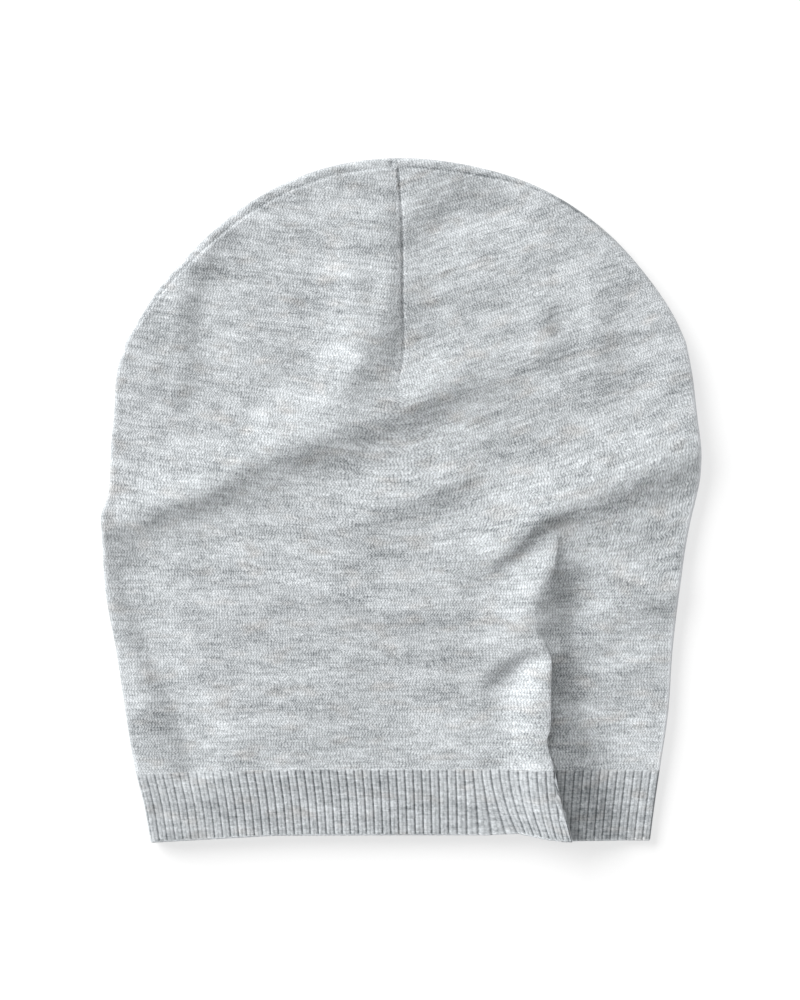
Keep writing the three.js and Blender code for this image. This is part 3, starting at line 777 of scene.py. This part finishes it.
def crown_plan(across, up):
    """Edge path and plan grid of the crown; the grid's bottom row follows the drooping rib line."""
    bottoms = rib_line(np.array([0.0, 1.0]))
    top = read_points(DOME_ARC, np.linspace(0, 1, len(DOME_ARC)), across)
    left, right = side_path(LEFT_SIDE, bottoms[0], up), side_path(RIGHT_SIDE, bottoms[1], up)
    path = np.concatenate([left[:-1], top, right[-2::-1]])
    plan = blend_grid(path, up, across)
    droop = rib_line(across) - (bottoms[0] + (bottoms[1] - bottoms[0]) * across)
    plan[:, :, 1] += (1 - smoothstep(up / DROOP_EASE))[:, None] * droop[None]
    return path, plan


def crown_faces(front, rings, back, inner, inner_rings, inner_back, split):
    """Groups of faces of the crown, each with the cloth whose map it takes, and the paths of its sharp
    edges. The front's map changes from left to right at the column `split`."""
    turn = len(front) - 1 + split
    faces = [
        (quads(front[:, :split + 1]), "left"),
        (quads(front[:, split:]), "right"),
        (fans(rings[-1], edge_path(back)), "back"),
        (quads(back)[:, ::-1], "back"),
        (quads(inner)[:, ::-1], "left"),
        (strip(inner_rings[-1], edge_path(inner_back))[:, ::-1], "back"),
        (quads(inner_back), "back"),
    ]
    for upper, lower in zip(rings[:-1], rings[1:]):
        faces.append((strip(upper[:turn + 1], lower[:turn + 1]), "left"))
        faces.append((strip(upper[turn:], lower[turn:]), "right"))
    for upper, lower in zip(inner_rings[:-1], inner_rings[1:]):
        faces.append((strip(upper, lower)[:, ::-1], "back"))

    # Open hem: face to inside over the front, then down the right edge, along the back and up the left edge
    loops = [
        np.concatenate([[ring[-1] for ring in turned], flat[0][::-1], [ring[0] for ring in turned[::-1]]])
        for turned, flat in ((rings, back), (inner_rings, inner_back))
    ]
    faces.append((fans(front[0], inner[0])[:, ::-1], "left"))
    faces.append((strip(*loops)[:, ::-1], "back"))
    return faces, [front[0], inner[0], *loops]


def crown_points():
    """Points, faces and knit maps of the jersey crown: face and inside of both layers, joined at the hem.

    The face is a blend of its four edges lifted to front_height; its edge turns under in quarter
    rings of radius EDGE_HEIGHT to the flat back layer; the inside lies one cloth's thickness in."""
    across, up = spaced(CROWN_ACROSS), spaced(CROWN_UP)
    path, plan = crown_plan(across, up)
    half_path = path[::2]
    x, y = plan[..., 0], plan[..., 1]
    shell = Shell()

    # Face of the front layer
    smooth_face = face(x, y)
    smooth_face[:, [0, -1], 2] = EDGE_HEIGHT
    smooth_face[-1, :, 2] = EDGE_HEIGHT
    top_height = fold_height(x, y)
    sewn = smooth_face.copy()
    drop, shade = seam_grooves(x, y)
    sewn[..., 2] -= drop * edge_rounding(x, y)
    front = shell.add(sewn, unrolled(x, y, smooth_face[..., 2], top_height))

    # Edge turned under in rings, then the back layer
    angles = np.array(EDGE_RINGS) * math.pi / 2
    rings = [edge_path(front)]
    for angle in angles:
        ring = inset_path(path, EDGE_HEIGHT * (1 - math.cos(angle)))
        chart = unrolled(path[:, 0], path[:, 1], EDGE_HEIGHT * (1 - angle), edge_path(top_height))
        rings.append(shell.add(level(ring, EDGE_HEIGHT * (1 - math.sin(angle))), chart))
    back_plan = blend_grid(inset_path(half_path, EDGE_HEIGHT + BACK_INSET), up[::2], across[::2])
    distance, _, length = nearest(BACK_DART, back_plan[..., 0], back_plan[..., 1])
    groove = BACK_GROOVE * eased(length, BACK_GROOVE_FROM) * bell(distance, BACK_GROOVE_WIDTH)
    back = shell.add(level(back_plan, groove), back_plan)

    # Inside of both layers
    thick = JERSEY * squeeze(x, y)
    inside = (smooth_face - thick[..., None] * outward(smooth_face))[::2, ::2]
    inside = with_edge(inside, level(inset_path(half_path, JERSEY), EDGE_HEIGHT))
    inner = shell.add(inside, plan[::2, ::2])
    inner_rings = [edge_path(inner)]
    inner_round = EDGE_HEIGHT - JERSEY
    for angle in angles:
        ring = inset_path(half_path, JERSEY + inner_round * (1 - math.cos(angle)))
        inner_rings.append(shell.add(level(ring, EDGE_HEIGHT - inner_round * math.sin(angle)), ring))
    inner_back = shell.add(level(back_plan, JERSEY), back_plan)

    split = int(np.argmin(np.abs(x[-1] - DART_SPLIT)))
    faces, rims = crown_faces(front, rings, back, inner, inner_rings, inner_back, split)
    maps = {key: np.concatenate(parts) for key, parts in shell.maps.items()}
    shades = np.zeros(shell.count)
    shades[front] = shade
    return (np.concatenate(shell.places), [group for group, _ in faces], [maps[key] for _, key in faces],
            rims, shades)


def band_section(rise):
    """Loop round the flattened band at a share of its height: its points, its plan points, and the length
    up to each, measured without the folds."""
    shares = spaced(BAND_ACROSS)
    low, high = read_table(HEM, shares), rib_line(shares)
    y = low + (high - low) * rise
    left = np.interp(y[0], LEFT_SIDE[:, 1], LEFT_SIDE[:, 0])
    right = np.interp(y[-1], RIGHT_SIDE[:, 1], RIGHT_SIDE[:, 0])
    x = left + (right - left) * shares
    front = face(x, y)
    front[[0, -1], 2] = EDGE_HEIGHT

    # The back lies flat, and rises to the edge in a quarter circle at both sides
    back_low = read_table(BACK_HEM, shares)
    back_y = back_low + (rib_line(0) + (rib_line(1) - rib_line(0)) * shares - back_low) * rise
    reach = np.clip(np.minimum(x - left, right - x) / EDGE_HEIGHT, 0, 1)
    under = EDGE_HEIGHT * (1 - np.sqrt(1 - (1 - reach) ** 2))
    back = np.stack([x, back_y, under], axis=1)[-2:0:-1]

    flat = np.concatenate([np.stack([x, EDGE_HEIGHT * edge_rounding(x, y)], axis=1), back[:, [0, 2]]])
    flat = np.concatenate([flat, flat[:1]])
    length = np.concatenate([[0], np.cumsum(np.linalg.norm(np.diff(flat, axis=0), axis=1))])
    loop = np.concatenate([front, back, front[:1]])
    plan = np.concatenate([np.stack([x, y], axis=1), back[:, :2], [[x[0], y[0]]]])
    return loop, plan, length, length[len(shares) - 1]


def band_loop(rise, count):
    """Evenly spaced points of the band's loop at a share of its height, with their unit normals, the share
    of its thickness that the cloth keeps, how closed the ribs are, and the painted shade beside the pleat.
    Towards the lower edge the ribs near the pleat are drawn to it, by a bell along the hem."""
    loop, plan, length, front_length = band_section(rise)
    at = np.arange(count) / count * length[-1]
    width = np.where(at < RIB_DRAG_AT, RIB_DRAG_BEFORE, RIB_DRAG_AFTER)
    at = at + RIB_DRAG * (1 - rise) ** RIB_DRAG_POWER * bell(at - RIB_DRAG_AT, width)
    place = read_points(loop, length, at)
    x, y = read_points(plan, length, at).T
    ahead = np.roll(place, -1, axis=0) - np.roll(place, 1, axis=0)
    normal = np.stack([-ahead[:, 2], 0 * ahead[:, 0], ahead[:, 0]], axis=1)
    normal /= np.linalg.norm(normal, axis=1)[:, None]
    on_front = at < front_length
    closed = 1 - OPEN_LEFT * eased(x, OPEN_LEFT_FROM) - OPEN_RIGHT * eased(x, OPEN_RIGHT_FROM)
    kept = np.where(on_front, squeeze(x, y), 1)
    shade = np.where(on_front, pleat_shade(x, y), 0)
    return place, normal, kept, closed, shade


def band_points():
    """Points, faces and knit maps of the rib hem: loops round the flattened band, sunk between the ribs,
    less so at the two sides.

    Each rib is a broad round, with a narrow groove, a bell in the share of a rib's width, between it and
    the next."""
    around = RIBS * POINTS_PER_RIB
    half = around // 2
    phase = (np.arange(around) % POINTS_PER_RIB) / POINTS_PER_RIB
    near = np.minimum(phase, 1 - phase)
    groove = bell(near, RIB_GROOVE) + RIB_ROUND * (1 - 2 * near) ** 2

    points, charts, shades = [], [], []
    for rise in BAND_ROWS:
        place, normal, _, closed, shade = band_loop(rise, around)
        depth = RIB_RISE * read_table(GROOVE_DEPTH, rise) * closed
        place = place - normal * (depth * np.clip(groove, 0, 1) + read_table(TUCK, rise))[:, None]
        place[:, 1] += read_table(GROOVE_LIFT, rise) * groove
        points.append(place)
        charts.append(np.stack([np.arange(around) / POINTS_PER_RIB * RIB_WIDTH,
                                np.full(around, rise * HEM_TALL)], axis=1))
        # Painted shade beside the pleat, less painted light at the hem's lower edge
        shades.append(shade - HEM_LIGHT * read_table(HEM_LIT, rise))
    for rise in INSIDE_ROWS:
        place, normal, share, _, _ = band_loop(rise, half)
        thick = (RIB_RISE + RIB_BASE) * share - read_table(INSIDE_TUCK, rise)
        points.append(place - normal * thick[:, None])
        charts.append(np.stack([np.arange(half) * 2 / POINTS_PER_RIB * RIB_WIDTH,
                                np.full(half, rise * HEM_TALL)], axis=1))
        shades.append(np.zeros(half))

    # Numbers of the points, row by row, each row closed to a loop
    outer = np.arange(len(BAND_ROWS) * around).reshape(-1, around)
    inner = outer.size + np.arange(len(INSIDE_ROWS) * half).reshape(-1, half)
    outer, inner = (np.concatenate([rows, rows[:, :1]], axis=1) for rows in (outer, inner))
    faces = [quads(outer), quads(inner)[:, ::-1]]
    faces += [fans(outer[0], inner[0])[:, ::-1], fans(outer[-1], inner[-1])]
    maps = [np.concatenate(charts)] * len(faces)
    return np.concatenate(points), faces, maps, [outer[-1], inner[-1]], np.concatenate(shades)


# Materials


def linear(code):
    """Linear colour with alpha from an sRGB hex code."""
    values = [int(code[i:i + 2], 16) / 255 for i in (1, 3, 5)]
    return [v / 12.92 if v <= 0.04045 else ((v + 0.055) / 1.055) ** 2.4 for v in values] + [1.0]


def add_node(tree, kind, inputs=(), **settings):
    """Adds a node, sets its attributes and fills its inputs, given in order or by name. An input takes a
    value, a link from a socket, or a link from a node's first output."""
    node = tree.nodes.new(kind)
    for key, value in settings.items():
        setattr(node, key, value)
    for key, value in inputs.items() if isinstance(inputs, dict) else enumerate(inputs):
        if isinstance(value, bpy.types.Node):
            value = value.outputs[0]
        if isinstance(value, bpy.types.NodeSocket):
            tree.links.new(value, node.inputs[key])
        else:
            node.inputs[key].default_value = value
    return node


def drawn_noise(tree, across, along, noise):
    """Noise about zero in the cloth, as long along the rows and as high up them as it says."""
    place = add_node(tree, "ShaderNodeCombineXYZ", [
        add_node(tree, MATH, [across, 1 / noise.length], operation="MULTIPLY"),
        add_node(tree, MATH, [along, 1 / noise.height], operation="MULTIPLY"),
        noise.seed,
    ])
    texture = add_node(tree, "ShaderNodeTexNoise", {
        "Vector": place, "Scale": 1.0, "Detail": noise.detail, "Roughness": NOISE_ROUGHNESS})
    return add_node(tree, MATH, [texture.outputs["Fac"], 0.5], operation="SUBTRACT")


def stitches(tree, across, along, wale, course, slip):
    """Columns of V stitches, a little uneven: height of the yarn, 0 to 1, and a random value for each leg.

    Up a row the height is half a sine wave, and a row rises from the middle of its column to both sides.
    Across, it falls with the cube of the distance from the middle."""
    slipped = drawn_noise(tree, across, along, SLIPPING)
    across = add_node(tree, MATH, [slipped, slip, across], operation="MULTIPLY_ADD")
    wandered = drawn_noise(tree, across, along, WANDERING)
    along = add_node(tree, MATH, [wandered, WANDER, along], operation="MULTIPLY_ADD")

    column = add_node(tree, MATH, [across, 1 / wale], operation="MULTIPLY")
    in_column = add_node(tree, MATH, [column], operation="FRACT")
    from_middle = add_node(tree, MATH, [in_column, 0.5], operation="SUBTRACT")
    off_middle = add_node(tree, MATH, [from_middle], operation="ABSOLUTE")
    rows = add_node(tree, MATH, [along, 1 / course], operation="MULTIPLY")
    row = add_node(tree, MATH, [off_middle, -LEG_RISE, rows], operation="MULTIPLY_ADD")
    in_row = add_node(tree, MATH, [row], operation="FRACT")
    turn = add_node(tree, MATH, [in_row, math.pi], operation="MULTIPLY")
    strand = add_node(tree, MATH, [turn], operation="SINE")
    strand = add_node(tree, MATH, [strand, ROW_GAP, 1 - ROW_GAP], operation="MULTIPLY_ADD")
    side = add_node(tree, MATH, [off_middle, 2.0], operation="MULTIPLY")
    edge = add_node(tree, MATH, [side, 3.0], operation="POWER")
    column_height = add_node(tree, MATH, [edge, -COLUMN_GAP, 1.0], operation="MULTIPLY_ADD")
    height = add_node(tree, MATH, [strand, column_height], operation="MULTIPLY")

    legs = add_node(tree, MATH, [across, 2 / wale], operation="MULTIPLY")
    leg = add_node(tree, "ShaderNodeCombineXYZ", [
        add_node(tree, MATH, [legs], operation="FLOOR"),
        add_node(tree, MATH, [row], operation="FLOOR"),
    ])
    value = add_node(tree, "ShaderNodeTexWhiteNoise", {"Vector": leg}, noise_dimensions="2D")
    return height, add_node(tree, MATH, [value.outputs["Value"], 0.5], operation="SUBTRACT")


def heather_tone(tree, across, along, yarn, height, single, fibres):
    """Tone of the knit, 0 dark to 1 light: streaks, patches, legs of stitches, painted shade where the yarn
    lies low between stitches, and fibres summed.
    """
    parts = [
        (drawn_noise(tree, across, along, STREAKS), yarn.streaks),
        (drawn_noise(tree, across, along, SPECKS), yarn.specks),
        (drawn_noise(tree, across, along, PATCHES), yarn.patches),
        (single, yarn.legs),
        # Painted shade where the yarn lies low between stitches
        (add_node(tree, MATH, [height, 0.5], operation="SUBTRACT"), yarn.gaps),
        (fibres, yarn.fibres),
    ]
    tone = yarn.middle
    for part, amount in parts:
        tone = add_node(tree, MATH, [part, amount, tone], operation="MULTIPLY_ADD")
    return tone


def shade_between_ribs(tree, across, along):
    """Painted shade between the ribs, 0 to 1: it falls straight from the middle of the groove to both sides,
    and ends at the rib line."""
    rib = add_node(tree, MATH, [across, 1 / RIB_WIDTH], operation="MULTIPLY")
    in_rib = add_node(tree, MATH, [rib], operation="FRACT")
    from_middle = add_node(tree, MATH, [in_rib, 0.5], operation="SUBTRACT")
    off_middle = add_node(tree, MATH, [from_middle], operation="ABSOLUTE")
    off_groove = add_node(tree, MATH, [0.5, off_middle], operation="SUBTRACT")
    faded = add_node(tree, MATH, [off_groove, RIB_SHADE_FADE], operation="MULTIPLY")
    shade = add_node(tree, MATH, [1.0, faded], operation="SUBTRACT", use_clamp=True)
    below = add_node(tree, MATH, [HEM_TALL, along], operation="SUBTRACT")
    begun = add_node(tree, MATH, [below, RIB_SHADE_END], operation="MULTIPLY", use_clamp=True)
    return add_node(tree, MATH, [shade, begun], operation="MULTIPLY")


def heather_knit(name, knit, yarn, wale, slip, ribbed):
    """Knit of heather yarn: its colour runs from the dark to the light fibre by tone, tinted warm in a few
    soft places, darkened by painted shade in grooves, between stitches and beside the pleat, and lightened
    by painted light at edges turned from the key light; its stitches and loose fibres give the bump."""
    material = bpy.data.materials.new(name)
    material.use_nodes = True
    tree = material.node_tree
    tree.nodes.clear()

    # The cloth's own places in millimetres, from the piece's knit map
    uv = add_node(tree, "ShaderNodeUVMap", uv_map="knit")
    split = add_node(tree, "ShaderNodeSeparateXYZ", [uv])
    across, along = split.outputs["X"], split.outputs["Y"]
    height, single = stitches(tree, across, along, wale, knit.course, slip)
    fibres = drawn_noise(tree, across, along, FIBRES)
    tone = heather_tone(tree, across, along, yarn, height, single, fibres)
    if ribbed:
        # Painted shade in the grooves between the ribs
        between = shade_between_ribs(tree, across, along)
        tone = add_node(tree, MATH, [between, -RIB_SHADE, tone], operation="MULTIPLY_ADD")
    # Painted shade from the point attribute: in the seams' grooves, outside the dome seam and beside the
    # pleat; negative values are painted light at edges turned from the key light
    shade = add_node(tree, "ShaderNodeAttribute", attribute_name="painted_shade_and_light").outputs["Fac"]
    tone = add_node(tree, MATH, [shade, -PAINTED_SHADE_TONE, tone], operation="MULTIPLY_ADD")

    ramp = add_node(tree, "ShaderNodeValToRGB", [tone])
    for element, code in zip(ramp.color_ramp.elements, (knit.dark, knit.light)):
        element.color = linear(code)
    warm = drawn_noise(tree, across, along, WARM_PLACES)
    warm = add_node(tree, MATH, [warm, WARM_FROM], operation="SUBTRACT")
    warm = add_node(tree, MATH, [warm, WARM_SHARPNESS], operation="MULTIPLY", use_clamp=True)
    tint = add_node(tree, "ShaderNodeMix", {0: warm, 6: ramp, 7: linear(knit.warm)}, data_type="RGBA",
                    blend_type="MULTIPLY")
    relief = add_node(tree, MATH, [fibres, FIBRE_RELIEF, height], operation="MULTIPLY_ADD")
    bump = add_node(tree, "ShaderNodeBump", {"Height": relief, "Strength": 1.0, "Distance": yarn.bump * MM})
    shader = add_node(tree, "ShaderNodeBsdfPrincipled", {
        "Base Color": tint.outputs[2], "Normal": bump, "Roughness": 0.92, "Specular IOR Level": 0.15,
        "Sheen Weight": 0.1, "Sheen Roughness": 0.5})
    add_node(tree, "ShaderNodeOutputMaterial", {"Surface": shader})
    return material


def heather_jersey(knit):
    """Fine jersey from yarn spun of pale and dark fibres: short dark and light streaks along the rows,
    wide soft patches, single legs of stitches that differ, and the small V of each stitch."""
    return heather_knit("heather_jersey", knit, JERSEY_YARN, knit.wale, SLIP, ribbed=False)


def heather_rib(knit):
    """The same yarn knitted in ribs: mottled stitches up each rib and painted shade on the yarn between the
    ribs.
    """
    return heather_knit("heather_rib", knit, RIB_YARN, RIB_WIDTH / 2, RIB_SLIP, ribbed=True)


def overlock_edge():
    """Jersey edges bound with thread: the knit's colour with close slanted thread across. The scale of
    the waves sets the threads 3 mm apart, coarser than real ones, so that they show through the mouth."""
    material = bpy.data.materials.new("overlocked_jersey_edge")
    material.use_nodes = True
    tree = material.node_tree
    place = add_node(tree, "ShaderNodeTexCoord").outputs["Object"]
    threads = add_node(tree, "ShaderNodeTexWave", {
        "Vector": place, "Scale": 120.0, "Distortion": 1.5, "Detail": 1.0}, bands_direction="DIAGONAL")
    ramp = add_node(tree, "ShaderNodeValToRGB", [threads.outputs["Fac"]])
    for element, code in zip(ramp.color_ramp.elements, ("#8F9498", "#CDD1D3")):
        element.color = linear(code)
    bump = add_node(tree, "ShaderNodeBump", {
        "Height": threads.outputs["Fac"], "Strength": 0.5, "Distance": 0.2 * MM})
    shader = tree.nodes["Principled BSDF"]
    tree.links.new(ramp.outputs["Color"], shader.inputs["Base Color"])
    tree.links.new(bump.outputs["Normal"], shader.inputs["Normal"])
    shader.inputs["Roughness"].default_value = 0.9
    return material


def lit_board():
    """Matt pale board lit from below, so that it burns out to white and shadows on it stay pale."""
    material = bpy.data.materials.new("matt_white_light_board")
    material.use_nodes = True
    shader = material.node_tree.nodes["Principled BSDF"]
    shader.inputs["Base Color"].default_value = linear("#A8A8A8")
    shader.inputs["Roughness"].default_value = 0.9
    shader.inputs["Specular IOR Level"].default_value = 0.1
    shader.inputs["Emission Color"].default_value = linear("#FFFFFF")
    shader.inputs["Emission Strength"].default_value = 0.64
    return material


# Settings


class KnitSettings(bpy.types.PropertyGroup):
    """Colours and stitches of the knit"""
    light: bpy.props.StringProperty(
        name="Light fibre", description="sRGB code of the pale fibres", default="#EEF2F5")
    dark: bpy.props.StringProperty(
        name="Dark fibre", description="sRGB code of the dark fibres", default="#5F6467")
    warm: bpy.props.StringProperty(
        name="Warm tint", description="sRGB code that tints the warmer fibres", default="#FBF7F4")
    wale: bpy.props.FloatProperty(
        name="Wale", description="Width of one column of stitches in millimetres", default=WALE,
        min=0.5, max=5)
    course: bpy.props.FloatProperty(
        name="Course", description="Height of one row of stitches in millimetres", default=COURSE,
        min=0.5, max=5)


class StageSettings(bpy.types.PropertyGroup):
    """Camera and light"""
    distance: bpy.props.FloatProperty(
        name="Camera height", description="Height of the camera above the floor", default=2.0, min=0.5,
        unit="LENGTH")
    view_height: bpy.props.FloatProperty(
        name="View height", description="Length of cloth and floor that the picture shows",
        default=0.424, min=0.1, unit="LENGTH")
    key: bpy.props.FloatProperty(
        name="Key light", description="Strength of the soft light from the upper left", default=4.42,
        min=0)
    key_angle: bpy.props.FloatProperty(
        name="Key softness", description="Angle that the key light spans", default=math.radians(50),
        min=0, subtype="ANGLE")
    key_height: bpy.props.FloatProperty(
        name="Key height", description="Angle of the key light above the floor",
        default=math.radians(32), min=0, subtype="ANGLE")
    fill: bpy.props.FloatProperty(
        name="Fill", description="Strength of the even light all round", default=0.40, min=0)


# Operators


class BEANIE_OT_crown(bpy.types.Operator):
    """Jersey crown with its folds, pleat, dome seam and dart"""
    bl_idname = "beanie.crown"
    bl_label = "Jersey crown"

    def execute(self, context):
        jersey = heather_jersey(context.scene.beanie_knit)
        crown = make_object("jersey_crown", *crown_points(), jersey)
        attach(crown, "root")
        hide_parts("crown")
        return {"FINISHED"}


class BEANIE_OT_hem(bpy.types.Operator):
    """Rib hem all round the mouth"""
    bl_idname = "beanie.hem"
    bl_label = "Rib hem"

    def execute(self, context):
        rib = heather_rib(context.scene.beanie_knit)
        band = make_object("rib_hem", *band_points(), rib)
        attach(band, "root")
        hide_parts("rib_band")
        return {"FINISHED"}


class BEANIE_OT_seams(bpy.types.Operator):
    """Sewn edges inside: the dome seam and the two darts"""
    bl_idname = "beanie.seams"
    bl_label = "Seams inside"

    def execute(self, context):
        edge = overlock_edge()
        for name in ("dome_seam", "front_dart_seam", "back_dart_seam"):
            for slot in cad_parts[name].material_slots:
                slot.material = edge
        return {"FINISHED"}


class BEANIE_OT_stage(bpy.types.Operator):
    """Pale floor, soft light from the upper left and the camera straight above"""
    bl_idname = "beanie.stage"
    bl_label = "Stage"

    def execute(self, context):
        scene = context.scene
        stage = scene.beanie_stage
        corners = FLOOR_HALF * np.array([(-1, -1), (1, -1), (1, 1), (-1, 1)], float)
        mesh = bpy.data.meshes.new("floor")
        mesh.from_pydata([(x, y, -FLOOR_BELOW) for x, y in corners], [], [(0, 1, 2, 3)])
        floor = bpy.data.objects.new("floor", mesh)
        mesh.materials.append(lit_board())
        scene.collection.objects.link(floor)

        lamp = bpy.data.lights.new("key", "SUN")
        lamp.energy = stage.key
        lamp.angle = stage.key_angle
        key = bpy.data.objects.new("key", lamp)
        quarter = math.radians(90)
        key.rotation_euler = (quarter - stage.key_height, 0, quarter + KEY_AZIMUTH)
        scene.collection.objects.link(key)

        world = bpy.data.worlds.new("even white")
        world.use_nodes = True
        background = world.node_tree.nodes["Background"]
        background.inputs["Color"].default_value = linear("#FFFFFF")
        background.inputs["Strength"].default_value = stage.fill
        scene.world = world
        scene.view_settings.view_transform = "Standard"

        lens = bpy.data.cameras.new("overhead")
        lens.sensor_fit = "VERTICAL"
        lens.sensor_height = SENSOR_HEIGHT
        lens.lens = SENSOR_HEIGHT * (stage.distance - FRAMED_HEIGHT) / stage.view_height
        camera = bpy.data.objects.new("overhead", lens)
        camera.location = (FRAMED_X, 0.0, stage.distance)
        scene.collection.objects.link(camera)
        scene.camera = camera
        return {"FINISHED"}


class BEANIE_PT_panel(bpy.types.Panel):
    """Lists the pieces and their settings"""
    bl_idname = "BEANIE_PT_panel"
    bl_label = "Beanie"
    bl_space_type = "VIEW_3D"
    bl_region_type = "UI"
    bl_category = "Beanie"

    def draw(self, context):
        for group in (context.scene.beanie_knit, context.scene.beanie_stage):
            for key in group.__annotations__:
                self.layout.prop(group, key)
        for operator in OPERATORS:
            self.layout.operator(operator.bl_idname)


OPERATORS = (BEANIE_OT_crown, BEANIE_OT_hem, BEANIE_OT_seams, BEANIE_OT_stage)
CLASSES = (KnitSettings, StageSettings, *OPERATORS, BEANIE_PT_panel)


def register():
    for item in CLASSES:
        bpy.utils.register_class(item)
    bpy.types.Scene.beanie_knit = bpy.props.PointerProperty(type=KnitSettings)
    bpy.types.Scene.beanie_stage = bpy.props.PointerProperty(type=StageSettings)


def unregister():
    del bpy.types.Scene.beanie_stage
    del bpy.types.Scene.beanie_knit
    for item in reversed(CLASSES):
        bpy.utils.unregister_class(item)


def main():
    register()
    bpy.ops.beanie.crown()
    bpy.ops.beanie.hem()
    bpy.ops.beanie.seams()
    bpy.ops.beanie.stage()


if __name__ == "__main__":
    main()
